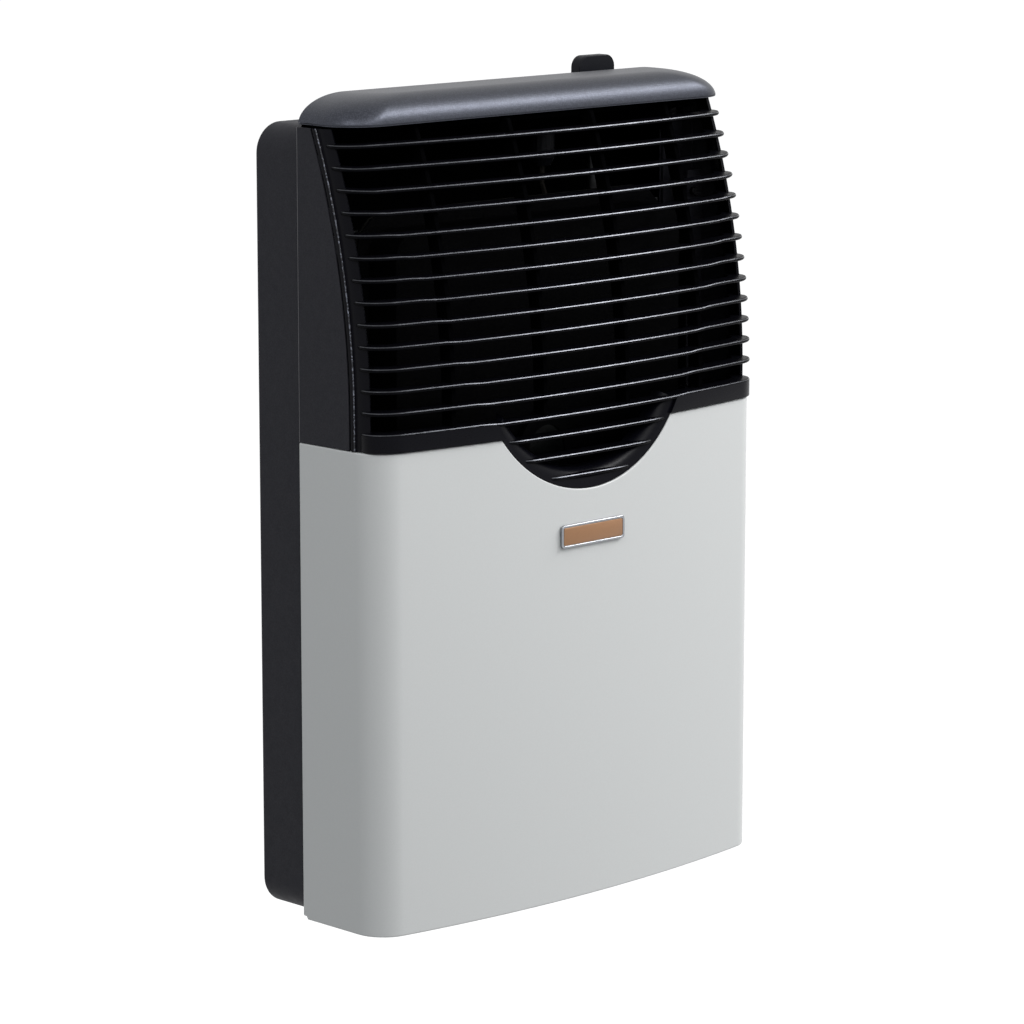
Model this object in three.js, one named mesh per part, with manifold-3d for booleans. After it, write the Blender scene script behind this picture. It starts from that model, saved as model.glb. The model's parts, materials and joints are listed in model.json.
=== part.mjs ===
// Wall mounted gas heater with a sealed, balanced flue combustion chamber.
// Millimetres, +Z up. X runs along the wall and Y out of the wall: the wall is Y = 0 and the room
// is at negative Y. Depths below are distances from the wall, heights are above the cabinet's base,
// and the group is lowered at the end so that the origin is the middle of the box's wall face.
import * as THREE from 'three';
import { mergeVertices } from 'three/addons/utils/BufferGeometryUtils.js';
import Module from 'manifold-3d';

const wasm = await Module();
wasm.setup();

// ---------------------------------------------------------------- driving dimensions

// gaps
const seat = 0.3; // between pieces that touch
const seam = 0.6; // between neighbouring panels
const slip = 0.3; // around a moving or inserted piece

// cabinet
const cabinetWidth = 395;
const cabinetDepth = 147; // to the foremost point of the bowed front
const bowRise = 18; // how far the front bows over its width
const cornerRadius = 26;
const panelHeight = 352; // pale lower panel
const sheet = 1; // cabinet sheet steel
const chassisSheet = 1.2; // rails, brackets and pressed chamber parts
const panelFlange = 22; // folded in along the rear edge
const panelLip = 24; // folded in along the bottom edge
const topLip = 5; // folded in along the top edge
const scoopRadius = 108.2; // round cut-out in the panel's top edge
const scoopDrop = 44.7; // how far the cut-out reaches below that edge
const notchDepth = 6; // little notch at the rear bottom corner of each side
const notchHeight = 3;

// back box
const boxInset = 3.5; // inside the cabinet's sides
const boxHeight = 577;
const boxDepth = 47;
const boxCorner = 31;
const boxSheet = 1;
const boxFlange = 20; // folded in along the front edge
const boxLip = 8; // folded in along the rear edge, takes the back plate

// lean of the upper front, a large arc that starts upright
const leanStart = 372;
const leanRadius = 565;
const leanSteps = 7; // flats along the lean

// grille
const rimWidth = 5.2; // edge of the frame that is flush with the side panel
const frameInset = 2; // frame face behind the cabinet's face
const frameWall = 2;
const frameWrap = 40; // degrees of each corner that the frame covers
const finProud = 2; // fins in front of the cabinet's face
const finDepth = 14;
const finThickness = 3;
const finPitch = 15.53;
const finCount = 13; // above the lip
const scoopFinCount = 3; // below the lip, in the scoop
const lipRise = 12.7; // lip above the pale panel
const finFadeStart = 18; // degrees round the corner where a fin leaves the frame
const finFadeEnd = 42; // and where it stands fully proud
const ribThickness = 4;
const ribSpacing = 85; // the four ribs stand evenly about the middle
const ribSetback = 6; // rib behind the fins' edge
const ribDepth = 11;
const scoopRimWidth = 15; // dished rim round the scoop
const scoopRimDepth = 12;

// top cover
const coverGap = 3; // shadow gap above the side panels
const coverBase = 581;
const coverHeight = 19;
const coverSetback = 44; // its straight front edge behind the foremost point
const coverNose = 24; // depth of the rounded nose
const coverEndRoll = 44; // width of the rounded ends
const coverCorner = 23;
const coverWall = 1.5;
const coverLugWidth = 18;
const coverLugDepth = 9;
const coverLugOffset = 120; // from the middle

// name plate, bare
const plateWidth = 65;
const plateHeight = 17;
const plateDepth = 2.2;
const plateRim = 1.8;
const plateRecess = 0.9;
const plateCorner = 2.5;
const plateCentre = 274.5;
const platePinOffset = 22;
const platePinRadius = 1.2;

// chassis
const railFootWidth = 20; // folded in behind
const railDepth = 22;
const railTongue = 15; // folded in at the front, takes grille and shield
const railBottom = 12;
const railTopGap = 4; // below the side panel's top
const topRailDepth = 12;
const topRailDrop = 24; // rear flange
const topRailApron = 12; // front flange
const trayFlange = 28;
const traySlots = 6;
const traySlotWidth = 44;
const traySlotMargin = 3.5; // in front of the slots and behind them
const shieldBottom = 20;
const shieldTop = 298;
const shieldRoom = 22; // between shield and the foremost point of the front
const shieldInset = 34; // shield's side walls inside the cabinet's sides

// combustion chamber
const chamberInset = 52; // chamber's side walls inside the cabinet's sides
const chamberBottom = 112;
const chamberClearance = 4; // between the chamber and the leaning grille
const chamberFlange = 12;
const chamberRearDepth = 10;
const chamberStandoff = 5; // behind the chamber, in front of the back box
const gasketThickness = 2;
const chamberCorner = 18;
const bracketFoot = 20;
const windowRadius = 22;
const windowHeight = 330;
const glassThickness = 4;
const windowRim = 7;

// flue, two pipes in one another
const flueDrop = 71; // flue's middle below the chamber's top
const flueRadius = 30;
const intakeRadius = 50;
const pipeWall = 1;
const flueCollar = 8;
const intakeFlange = 12;
const pipeRecess = 0.5; // pipe ends behind the wall face
const ductWidth = 70;
const ductDepth = 26;
const ductFoot = 30; // height of the duct's mouth into the chamber

// burner
const burnerRadius = 12;
const burnerRise = 40; // above the chamber's floor
const burnerRoom = 3.2; // before and behind it in the chamber's front half
const burnerInset = 30; // burner's blind end inside the chamber
const venturiRadius = 9;
const venturiLength = 16; // outside the chamber
const burnerPorts = 9;
const portWidth = 8;
const portDepth = 3;
const injectorRadius = 6;
const orificeRadius = 0.6;

// pilot group
const pilotOffset = 60; // from the middle
const pilotSpacing = 14;
const pilotRadius = 4;
const pilotBelow = 8; // under the chamber's floor
const pilotSocket = 5; // depth of its pipe socket
const pilotNose = 4; // length of its tapered tip
const pilotTipRadius = 2.8;
const pilotGap = 2; // tips below the burner
const probeRadius = 2.4;
const probeBelow = 10;
const electrodeBelow = 12;
const electrodeRadius = 0.9;
const insulatorRise = 12; // above the pilot plate

// controls
const knobInset = 21.5; // inside the chamber's side
const controlDepth = 24;
const pressTravel = 6;
const rodRadius = 4;
const stemRadius = 3;
const sleeveRadius = 6.5;
const sleeveLength = 26;
const collarRadius = 9;
const collarHeight = 6;
const springRadius = 6;
const springWire = 1.4;
const springTurns = 5;
const springLength = 13;
const knobRise = 32.5; // its top above the box
const knobWidth = 38;
const knobThickness = 9.5;
const knobPaddle = 15;
const knobCornerRadius = 9;
const knobHubRadius = 14;
const knobHubChamfer = 2;
const knobClear = 1.2; // above the bezel when pressed
const bezelRadius = 18;
const bezelHeight = 2;
const guideHeight = 330;
const guideWidth = 26;

// gas valve
const valveBottom = 40;
const valveHeight = 46;
const valveWidth = 50;
const valveCorner = 5;
const valveBossRadius = 10;
const valveBossHeight = 8;
const valveBracketMargin = 8; // bracket beside the valve
const valveBracketDrop = 6; // bracket below the valve
const valveLugHeight = 16;
const stemRoom = 4; // under the stem when pressed
const inletRadius = 12;
const inletBore = 7.5;
const inletSocket = 18; // depth for the supply pipe
const inletNeckRadius = 8; // screwed into the valve
const inletNeckLength = 8;
const inletNeckWall = 2;
const inletRecess = 1; // pipe end above the base
const outletRadius = 7;
const outletLength = 6;
const pipeRadius = 4;
const pipeSweep = 10; // how gently the pipes and leads bend
const pilotPipeRadius = 2;
const pilotPipeSocket = 8; // depth of its socket in the valve
const probeNutLength = 8;
const leadRadius = 2;
const leadClear = 6; // lead beside the igniter

// igniter
const igniterSpacing = 54; // beside the knob
const igniterRadius = 9.5;
const igniterLength = 46;
const igniterTaper = 6;
const igniterCollar = 2.5; // wider rim under the box's top
const igniterCollarHeight = 4;
const igniterNeck = 8;
const igniterNeckRise = 1.7;
const buttonRadius = 6;
const buttonHeadRadius = 7.4;
const buttonHead = 6;
const buttonRound = 2;
const buttonTravel = 5;
const nutRadius = 12.5;
const nutHeight = 3;

// fasteners
const screwRadius = 2;
const screwHeadRadius = 4;
const screwHead = 2.4;
const screwChamfer = 1;
const screwSlot = 0.8; // width and depth
const screwReach = 6; // past the last sheet
const screwInset = 15.5; // rail screws inside the cabinet's sides
const lowerScrewHeight = 80;
const upperScrewDrop = 13; // below the side panel's top
const grilleScrewHeights = [395, 505];
const grilleLug = 8; // half height
const grilleScrewInset = 10; // from the rail's inner face
const baseScrewInset = 57.5; // inside the cabinet's sides

// wall fixings
const keyholeInset = 44; // inside the box's sides
const keyholeHeight = 515;
const keyholeRadius = 6;
const keySlotRadius = 3;
const keySlotRise = 11;
const fixingInset = 44;
const fixingHeight = 27;
const fixingRadius = 3.5;

// ---------------------------------------------------------------- worked out from them

const half = cabinetWidth / 2;
const boxHalf = half - boxInset;
const keyholeOffset = boxHalf - keyholeInset;
const fixingOffset = boxHalf - fixingInset;
const baseScrewOffset = half - baseScrewInset;
const panelRear = boxDepth + seam;
const railRear = panelRear + sheet + seat;
const topRailRear = railRear + chassisSheet + seat;
const sidePanelTop = coverBase - coverGap;
const bowRadius = (half * half + bowRise * bowRise) / (2 * bowRise);
const cornerX = half - cornerRadius;
const cornerReach = Math.sqrt((bowRadius - cornerRadius) ** 2 - cornerX ** 2);
const cornerY = bowRadius - cabinetDepth - cornerReach;
const bowAngle = Math.asin(cornerX / (bowRadius - cornerRadius));
const cornerEnd = Math.PI / 2 - bowAngle;
const sidePanelDepth = -cornerY - rimWidth - seam; // front edge of the side panels where they stand upright
const coverFront = cabinetDepth - coverSetback;
const traySlotDepth = sidePanelDepth - topRailRear - 2 * traySlotMargin;
const scoopCentre = panelHeight - scoopDrop + scoopRadius;
const lipHeight = panelHeight + lipRise;
const railFace = half - sheet - seat; // outer face of the rails
const railInner = railFace - chassisSheet;
const railFront = railRear + railDepth;
const railTop = sidePanelTop - railTopGap;
const screwX = half - screwInset;
const grilleScrewX = railInner - grilleScrewInset;
const chamberHalf = half - chamberInset;
const knobOffset = chamberHalf - knobInset;
const igniterOffset = knobOffset - igniterSpacing;
const burnerHeight = chamberBottom + burnerRise;
const chamberBack = boxDepth + chamberStandoff;
const rearFlangeFront = chamberBack + chamberRearDepth;
const gasketRear = rearFlangeFront + seat;
const frontFlangeRear = gasketRear + gasketThickness + seat;
const chamberFace = frontFlangeRear + 2 * (burnerRadius + burnerRoom);
const ribRear = cabinetDepth - bowRise + finProud - ribSetback - ribDepth;
const leanRoom = ribRear - chamberFace - chamberClearance;
const leanTop = leanStart + Math.sqrt(leanRadius ** 2 - (leanRadius - leanRoom) ** 2);
const topRailFoot = coverBase - seat - topRailDrop;
const chamberTop = Math.min(leanTop, topRailFoot - chamberFlange - chamberClearance);
const flueHeight = chamberTop - flueDrop;
const shieldFace = cabinetDepth - shieldRoom;
const bracketFront = rearFlangeFront - chassisSheet - seat;
const valveBack = boxSheet + seat + chassisSheet + seat;
const valveFront = 2 * controlDepth - valveBack;
const valveTop = valveBottom + valveHeight;
const bossTop = valveTop + valveBossHeight;
const springBase = bossTop + seat;
const collarBase = springBase + springLength + seat;
const sleeveBase = collarBase + collarHeight + seat;
const bezelTop = boxHeight + seat + bezelHeight;
const knobTop = boxHeight + knobRise;
const burnerDepth = (frontFlangeRear + chamberFace) / 2;
const injectorStart = chamberHalf + venturiLength + seat;
const feedX = injectorStart + injectorRadius; // burner pipe below the injector

// ---------------------------------------------------------------- shape helpers

const rad = (degrees) => (degrees * Math.PI) / 180;

// A closed solid from any closed geometry, turned outward whichever way it was drawn.
function solid(geometry) {
  const bare = geometry.clone();
  bare.deleteAttribute('normal');
  bare.deleteAttribute('uv');
  const merged = mergeVertices(bare, 1e-4);
  const position = merged.attributes.position;
  const index = merged.index.array;
  const kept = [];
  const a = new THREE.Vector3();
  const b = new THREE.Vector3();
  const c = new THREE.Vector3();
  let volume = 0;
  for (let i = 0; i < index.length; i += 3) {
    const [p, q, r] = [index[i], index[i + 1], index[i + 2]];
    if (p === q || q === r || r === p) continue;
    a.fromBufferAttribute(position, p);
    b.fromBufferAttribute(position, q);
    c.fromBufferAttribute(position, r);
    volume += a.dot(b.cross(c));
    kept.push(p, q, r);
  }
  if (volume < 0) kept.reverse();
  const vertProperties = new Float32Array(position.array);
  const triVerts = new Uint32Array(kept);
  return new wasm.Manifold(new wasm.Mesh({ numProp: 3, vertProperties, triVerts }));
}

const add = (first, ...others) => others.reduce((body, other) => body.add(other), first);
const cut = (first, ...others) => others.reduce((body, other) => body.subtract(other), first);

// A box between two values on each axis, in any order.
function block([x0, x1], [y0, y1], [z0, z1]) {
  const geometry = new THREE.BoxGeometry(Math.abs(x1 - x0), Math.abs(y1 - y0), Math.abs(z1 - z0));
  return solid(geometry.translate((x0 + x1) / 2, (y0 + y1) / 2, (z0 + z1) / 2));
}

const basisOf = {
  x: new THREE.Matrix4().makeBasis(
    new THREE.Vector3(0, 1, 0), new THREE.Vector3(0, 0, 1), new THREE.Vector3(1, 0, 0)),
  y: new THREE.Matrix4().makeBasis(
    new THREE.Vector3(1, 0, 0), new THREE.Vector3(0, 0, 1), new THREE.Vector3(0, -1, 0)),
  z: new THREE.Matrix4(),
};

// An outline extruded along an axis. The outline is [y, z] for x, [x, z] for y and [x, y] for z.
function prism(axis, outline, from, to) {
  const shape = new THREE.Shape(outline.map(([u, v]) => new THREE.Vector2(u, v)));
  const low = Math.min(from, to);
  const high = Math.max(from, to);
  const geometry = new THREE.ExtrudeGeometry(shape, { depth: high - low, bevelEnabled: false });
  geometry.translate(0, 0, axis === 'y' ? -high : low);
  return solid(geometry.applyMatrix4(basisOf[axis]));
}

// A round profile [radius, place along the axis] turned about an axis through the point at.
function turned(axis, profile, at, sides = 24) {
  const geometry = new THREE.LatheGeometry(profile.map(([r, h]) => new THREE.Vector2(r, h)), sides);
  if (axis === 'x') geometry.rotateZ(-Math.PI / 2).translate(0, at[0], at[1]);
  if (axis === 'y') geometry.translate(at[0], 0, at[1]);
  if (axis === 'z') geometry.rotateX(Math.PI / 2).translate(at[0], at[1], 0);
  return solid(geometry);
}

function bar(axis, radius, from, to, at, sides = 12) {
  return turned(axis, [[0, from], [radius, from], [radius, to], [0, to]], at, sides);
}

// A hole's cutter: its flats touch the stated radius, so a pin of that radius clears it.
function drill(axis, radius, from, to, at, sides = 12) {
  return bar(axis, radius / Math.cos(Math.PI / sides), from, to, at, sides);
}

function ring(axis, inner, outer, from, to, at, sides = 24) {
  const profile = [[inner, from], [outer, from], [outer, to], [inner, to], [inner, from]];
  return turned(axis, profile, at, sides);
}

// A skin through a row of closed rings with equal counts of points, capped at both ends.
function loft(rings, flatten) {
  const count = rings[0].length;
  const points = rings.flat();
  const faces = [];
  for (let level = 0; level + 1 < rings.length; level += 1) {
    for (let i = 0; i < count; i += 1) {
      const a = level * count + i;
      const b = level * count + ((i + 1) % count);
      faces.push(a, b, b + count, a, b + count, a + count);
    }
  }
  const cap = THREE.ShapeUtils.triangulateShape(rings[0].map(flatten), []);
  const last = (rings.length - 1) * count;
  const clockwise = THREE.ShapeUtils.isClockWise(rings[0].map(flatten));
  for (const [a, b, c] of cap) {
    if (clockwise) {
      faces.push(a, b, c, last + a, last + c, last + b);
    } else {
      faces.push(a, c, b, last + a, last + b, last + c);
    }
  }
  const geometry = new THREE.BufferGeometry();
  geometry.setAttribute('position', new THREE.Float32BufferAttribute(points.flat(), 3));
  geometry.setIndex(faces);
  return solid(geometry.toNonIndexed());
}

const flatXY = ([x, y]) => new THREE.Vector2(x, y);

function arc(cx, cy, radius, from, to, steps) {
  const points = [];
  for (let i = 0; i <= steps; i += 1) {
    const angle = from + ((to - from) * i) / steps;
    points.push([cx + radius * Math.cos(angle), cy + radius * Math.sin(angle)]);
  }
  return points;
}

function roundedBox(x0, x1, y0, y1, radius, steps = 5) {
  const turn = Math.PI / 2;
  return [
    ...arc(x1 - radius, y1 - radius, radius, 0, turn, steps),
    ...arc(x0 + radius, y1 - radius, radius, turn, 2 * turn, steps),
    ...arc(x0 + radius, y0 + radius, radius, 2 * turn, 3 * turn, steps),
    ...arc(x1 - radius, y0 + radius, radius, 3 * turn, 4 * turn, steps),
  ];
}

// A round wire or pipe along a smooth curve through the points.
function pipe(points, radius, sides = 8, steps = 24) {
  const path = new THREE.CatmullRomCurve3(points.map((p) => new THREE.Vector3(...p)), false, 'centripetal');
  const section = new THREE.Shape(arc(0, 0, radius, 0, 2 * Math.PI, sides).slice(1).map(flatXY));
  return solid(new THREE.ExtrudeGeometry(section, { steps, extrudePath: path, bevelEnabled: false }));
}

// Both of a mirrored pair about the middle plane: side is -1 on the left and 1 on the right.
const spanX = (side, a, b) => [side * a, side * b];

// ---------------------------------------------------------------- front curve of the cabinet

// A point round a corner of the plan: side is -1 on the left and 1 on the right.
const cornerPoint = (side, reach, angle) =>
  [side * (cornerX + reach * Math.cos(angle)), cornerY - reach * Math.sin(angle)];

// Seen from above, the front runs from the left side round a corner, along the bow and round the
// right corner. grow moves it outward, and from is the angle round the corner where it starts.
function frontCurve(grow, from = 0, cornerSteps = 4, bowSteps = 8) {
  const left = [];
  for (let i = 0; i <= cornerSteps; i += 1) {
    const angle = from + ((cornerEnd - from) * i) / cornerSteps;
    left.push(cornerPoint(-1, cornerRadius + grow, angle));
  }
  const bow = [];
  for (let i = 1; i < bowSteps; i += 1) {
    const angle = bowAngle * ((2 * i) / bowSteps - 1);
    bow.push(onBow((bowRadius + grow) * Math.sin(angle), grow));
  }
  const right = left.map(([x, y]) => [-x, y]).reverse();
  return [...left, ...bow, ...right];
}

function onBow(x, grow) {
  return [x, bowRadius - cabinetDepth - Math.sqrt((bowRadius + grow) ** 2 - x * x)];
}

// How far the upper front has leaned back at a height.
function lean(height) {
  const rise = Math.max(0, height - leanStart);
  return leanRadius - Math.sqrt(leanRadius * leanRadius - rise * rise);
}

const leanLevels = (from, to, steps) =>
  Array.from({ length: steps + 1 }, (_, i) => from + ((to - from) * i) / steps);

// ---------------------------------------------------------------- cabinet

function frontPanel() {
  const rear = -panelRear;
  const inner = half - panelFlange;
  const outline = [
    [-half, rear], ...frontCurve(0), [half, rear], [inner, rear], [inner, rear - sheet],
    [half - sheet, rear - sheet], ...frontCurve(-sheet).reverse(), [sheet - half, rear - sheet],
    [-inner, rear - sheet], [-inner, rear],
  ];
  const skin = prism('z', outline, 0, panelHeight);
  const lipOf = (width, z0, z1) => {
    const edge = [...frontCurve(-sheet / 2), ...frontCurve(-width).reverse()];
    return prism('z', edge, z0, z1);
  };
  const scoop = drill('y', scoopRadius, -cabinetDepth - sheet, -sidePanelDepth, [0, scoopCentre], 72);
  const notches = [-1, 1].map((side) =>
    block(spanX(side, half - panelFlange - sheet, half + sheet),
      [rear + sheet, rear - notchDepth], [-sheet, notchHeight]));
  const screws = [-1, 1].map((side) => {
    const depth = baseScrewDepth();
    return drill('z', screwRadius + slip, -sheet, 2 * sheet, [side * baseScrewOffset, -depth]);
  });
  const rearHoles = [-1, 1].map((side) => drill('y', screwRadius + slip, -boxDepth, -railRear,
    [side * screwX, lowerScrewHeight]));
  const pins = [-1, 1].map((side) =>
    drill('y', platePinRadius + slip, -cabinetDepth - sheet, -sidePanelDepth,
      [side * platePinOffset, plateCentre]));
  const body = add(skin, lipOf(panelLip, 0, sheet), lipOf(topLip, panelHeight - sheet, panelHeight));
  return cut(body, scoop, ...notches, ...screws, ...rearHoles, ...pins);
}

// The base screws stand in the middle of the panel's bottom lip.
function baseScrewDepth() {
  return -onBow(baseScrewOffset, 0)[1] - panelLip / 2 - sheet / 2;
}

function sidePanel(side) {
  const bottom = panelHeight + seam;
  const edge = leanLevels(bottom, sidePanelTop, leanSteps).map((z) => [lean(z) - sidePanelDepth, z]);
  const plate = prism('x', [[-panelRear, bottom], ...edge, [-panelRear, sidePanelTop]],
    side * half, side * (half - sheet));
  const flange = block(spanX(side, half - panelFlange, half),
    [-panelRear, -panelRear - sheet], [bottom, sidePanelTop]);
  const hole = drill('y', screwRadius + slip, -boxDepth, -railRear,
    [side * screwX, sidePanelTop - upperScrewDrop]);
  return cut(add(plate, flange), hole);
}

// Plan of a fin: its front edge leaves the frame smoothly round each corner.
function finPlan(height) {
  const steps = 3;
  const left = [];
  for (let i = 0; i <= steps; i += 1) {
    const share = i / steps;
    const angle = rad(finFadeStart + (finFadeEnd - finFadeStart) * share);
    const root = cornerRadius - frameInset - frameWall / 4;
    const reach = root + (cornerRadius + finProud - root) * Math.sin((share * Math.PI) / 2);
    left.push(cornerPoint(-1, reach, angle));
  }
  const right = left.map(([x, y]) => [-x, y]).reverse();
  const front = frontCurve(finProud, rad(finFadeEnd), 2, 8).slice(1, -1);
  return [...left, ...front, ...right].map(([x, y]) => [x, y + lean(height)]);
}

// Plan of something that reaches from the fins' front edge back to an inner edge at grow.
function finRing(height, grow) {
  const back = frontCurve(grow, rad(finFadeStart), 2, 4).reverse();
  return [...finPlan(height), ...back.map(([x, y]) => [x, y + lean(height)])];
}

function fin(height) {
  return prism('z', finRing(height, finProud - finDepth), height - finThickness / 2,
    height + finThickness / 2);
}

// Side of the grille's frame: flush rim, a step, then the inset corner, all leaning with the side.
function frameSide(side) {
  const bottom = panelHeight + seam;
  const outerCorner = cornerRadius - frameInset;
  const innerCorner = outerCorner - frameWall;
  const rimStart = -sidePanelDepth - seam;
  const rimEnd = rimStart - rimWidth;
  const section = (reach) =>
    arc(-cornerX, cornerY, reach, Math.PI, Math.PI + rad(frameWrap), 3);
  const profile = [
    [-half, rimStart], [-half, rimEnd], ...section(outerCorner).slice(1),
    ...section(innerCorner).reverse(), [-cornerX - innerCorner, rimStart],
  ];
  const rings = leanLevels(bottom, sidePanelTop, leanSteps).map((z) =>
    profile.map(([x, y]) => [-side * x, y + lean(z), z]));
  return loft(rings, flatXY);
}

// Closed band under the fins, between the corners, which meets the pale panel.
function frameBand() {
  const bottom = panelHeight + seam;
  return prism('z', finRing(bottom, -frameInset - frameWall), bottom, lipHeight);
}

function rib(x) {
  const rings = leanLevels(lipHeight, sidePanelTop, leanSteps).map((z) => {
    const front = onBow(x, finProud - ribSetback)[1] + lean(z);
    const [x0, x1] = [x - ribThickness / 2, x + ribThickness / 2];
    return [[x0, front, z], [x1, front, z], [x1, front + ribDepth, z], [x0, front + ribDepth, z]];
  });
  return loft(rings, flatXY);
}

// Dished rim that follows the scoop, as sections [radius, behind the front] along its arc.
function scoopRim() {
  const outer = scoopRadius - seam;
  const inner = outer - scoopRimWidth;
  const start = frameWall / 4;
  const profile = [
    [outer, start], [inner, start + scoopRimDepth], [inner, start + scoopRimDepth + frameWall],
    [outer - frameWall, start + 2 * frameWall], [outer, start + 2 * frameWall],
  ];
  const top = lipHeight - finThickness;
  const reach = Math.acos((scoopCentre - top) / outer);
  const rings = leanLevels(-reach, reach, 16).map((angle) =>
    profile.map(([radius, behind]) => {
      const x = radius * Math.sin(angle);
      return [x, onBow(x, 0)[1] + behind, scoopCentre - radius * Math.cos(angle)];
    }));
  return loft(rings, ([, y, z]) => new THREE.Vector2(y, z));
}

// The part of the scoop's disc that lies below a height, as a cutter through the front.
function scoopDisc(radius, top) {
  const reach = Math.acos((scoopCentre - top) / radius);
  const edge = arc(0, scoopCentre, radius, -Math.PI / 2 - reach, -Math.PI / 2 + reach, 20);
  return prism('y', edge, -cabinetDepth - 2 * finDepth, -sidePanelDepth);
}

function scoopFin(height) {
  const proud = finProud / 2;
  const plan = [...frontCurve(proud, rad(finFadeEnd), 1, 12),
    ...frontCurve(proud - finDepth, rad(finFadeEnd), 1, 12).reverse()];
  const slab = prism('z', plan, height - finThickness / 2, height + finThickness / 2);
  return slab.intersect(scoopDisc(scoopRadius - seam - frameWall / 2, lipHeight));
}

// Screw lugs stand inside the frame and rest on the rails' front tongues.
function grilleLugs(side) {
  const face = railFront + seat;
  const wallOuter = half - frameInset - frameWall + seat;
  const wallInner = wallOuter - frameWall;
  return grilleScrewHeights.map((height) => {
    const span = [height - grilleLug, height + grilleLug];
    const reach = sidePanelDepth + rimWidth - lean(height - grilleLug);
    const wall = block(spanX(side, wallInner, wallOuter), [-face, -reach], span);
    const pad = block(spanX(side, railInner - railTongue, wallOuter), [-face, -face - frameWall], span);
    const hole = drill('y', screwRadius + slip, -railRear, -face - 2 * frameWall,
      [side * grilleScrewX, height]);
    return cut(add(wall, pad), hole);
  });
}

// Bar behind the tops of the ribs, with a spoke to each side of the frame.
function frameTopBar() {
  const base = sidePanelTop - finThickness;
  const grow = finProud - ribSetback - ribDepth + frameWall;
  const start = rad(finFadeStart);
  const end = start + frameWall / (cornerRadius + grow);
  const arch = [...frontCurve(grow, start, 4, 10), ...frontCurve(grow - frameWall, start, 4, 10).reverse()];
  const inner = cornerRadius + grow - frameWall / 2;
  const outer = cornerRadius - frameInset - frameWall / 2;
  const spoke = (side) => [cornerPoint(side, inner, start), cornerPoint(side, outer, start),
    cornerPoint(side, outer, end), cornerPoint(side, inner, end)];
  return add(...[arch, spoke(-1), spoke(1)].map((outline) =>
    prism('z', outline.map(([x, y]) => [x, y + lean(base)]), base, sidePanelTop)));
}

function grille() {
  const fins = [];
  for (let i = 0; i <= finCount; i += 1) fins.push(fin(lipHeight + i * finPitch));
  for (let i = 1; i <= scoopFinCount; i += 1) fins.push(scoopFin(lipHeight - i * finPitch));
  const window = scoopDisc(scoopRadius - seam - frameWall, lipHeight - finThickness / 2);
  const band = cut(frameBand(), window);
  const ribs = [-1.5, -0.5, 0.5, 1.5].map((place) => rib(place * ribSpacing));
  return add(band, frameSide(-1), frameSide(1), scoopRim(), frameTopBar(), ...fins, ...ribs,
    ...grilleLugs(-1), ...grilleLugs(1));
}

// One level of the top cover: a plate with rounded front corners that shrinks as it rises.
function coverLevel(angle, inset, z) {
  const roll = 1 - Math.cos(angle);
  const side = half - coverEndRoll * roll - inset;
  const front = coverNose * roll + inset - coverFront;
  const corner = coverCorner - inset;
  const rear = -panelRear - inset;
  const left = arc(corner - side, front + corner, corner, Math.PI, 1.5 * Math.PI, 5);
  const right = arc(side - corner, front + corner, corner, 1.5 * Math.PI, 2 * Math.PI, 5);
  return [[-side, rear], ...left, ...right, [side, rear]].map(([x, y]) => [x, y, z]);
}

function coverShape(inset, start) {
  const rings = start < coverBase ? [coverLevel(0, inset, start)] : [];
  const steps = 6;
  for (let i = 0; i <= steps; i += 1) {
    const angle = ((Math.PI / 2) * i) / steps;
    rings.push(coverLevel(angle, inset, coverBase + (coverHeight - inset) * Math.sin(angle)));
  }
  return loft(rings, flatXY);
}

const coverLugRear = topRailRear + chassisSheet;
const lugScrewDepth = coverLugRear + coverLugDepth / 2;

function topCover() {
  const shell = cut(coverShape(0, coverBase), coverShape(coverWall, coverBase - coverWall));
  const lugs = [-1, 1].map((side) => {
    const place = side * coverLugOffset;
    const body = block([place - coverLugWidth / 2, place + coverLugWidth / 2],
      [-coverLugRear, -coverLugRear - coverLugDepth],
      [coverBase, coverBase + coverHeight - coverWall / 2]);
    const hole = drill('z', screwRadius + slip, coverBase - coverWall,
      coverBase + screwReach + 2 * slip, [place, -lugScrewDepth]);
    return cut(body, hole);
  });
  return add(shell, ...lugs);
}

// ---------------------------------------------------------------- name plate

function platePair() {
  const back = -cabinetDepth - seat;
  const front = back - plateDepth;
  const outline = (inset) => roundedBox(inset - plateWidth / 2, plateWidth / 2 - inset,
    plateCentre - plateHeight / 2 + inset, plateCentre + plateHeight / 2 - inset,
    plateCorner - inset / 2, 4);
  const pocket = prism('y', outline(plateRim), front - plateRecess, front + plateRecess + seat);
  const pins = [-1, 1].map((side) => bar('y', platePinRadius, back - plateDepth / 2,
    back + seat + 3 * sheet, [side * platePinOffset, plateCentre], 12));
  const bezel = add(cut(prism('y', outline(0), front, back), pocket), ...pins);
  const faceOutline = outline(plateRim + slip);
  const face = prism('y', faceOutline, front + plateRecess / 3, front + plateRecess);
  return { bezel, face };
}

// ---------------------------------------------------------------- chassis

function boxOutline(inset) {
  return roundedBox(inset - boxHalf, boxHalf - inset, inset, boxHeight - inset,
    Math.max(boxCorner - inset, 2), 4);
}

function keyhole(side) {
  const x = side * keyholeOffset;
  const round = drill('y', keyholeRadius, boxSheet, -2 * boxSheet, [x, keyholeHeight], 12);
  const slot = block([x - keySlotRadius, x + keySlotRadius], [boxSheet, -2 * boxSheet],
    [keyholeHeight, keyholeHeight + keySlotRise]);
  const end = drill('y', keySlotRadius, boxSheet, -2 * boxSheet, [x, keyholeHeight + keySlotRise]);
  return add(round, slot, end);
}

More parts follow.
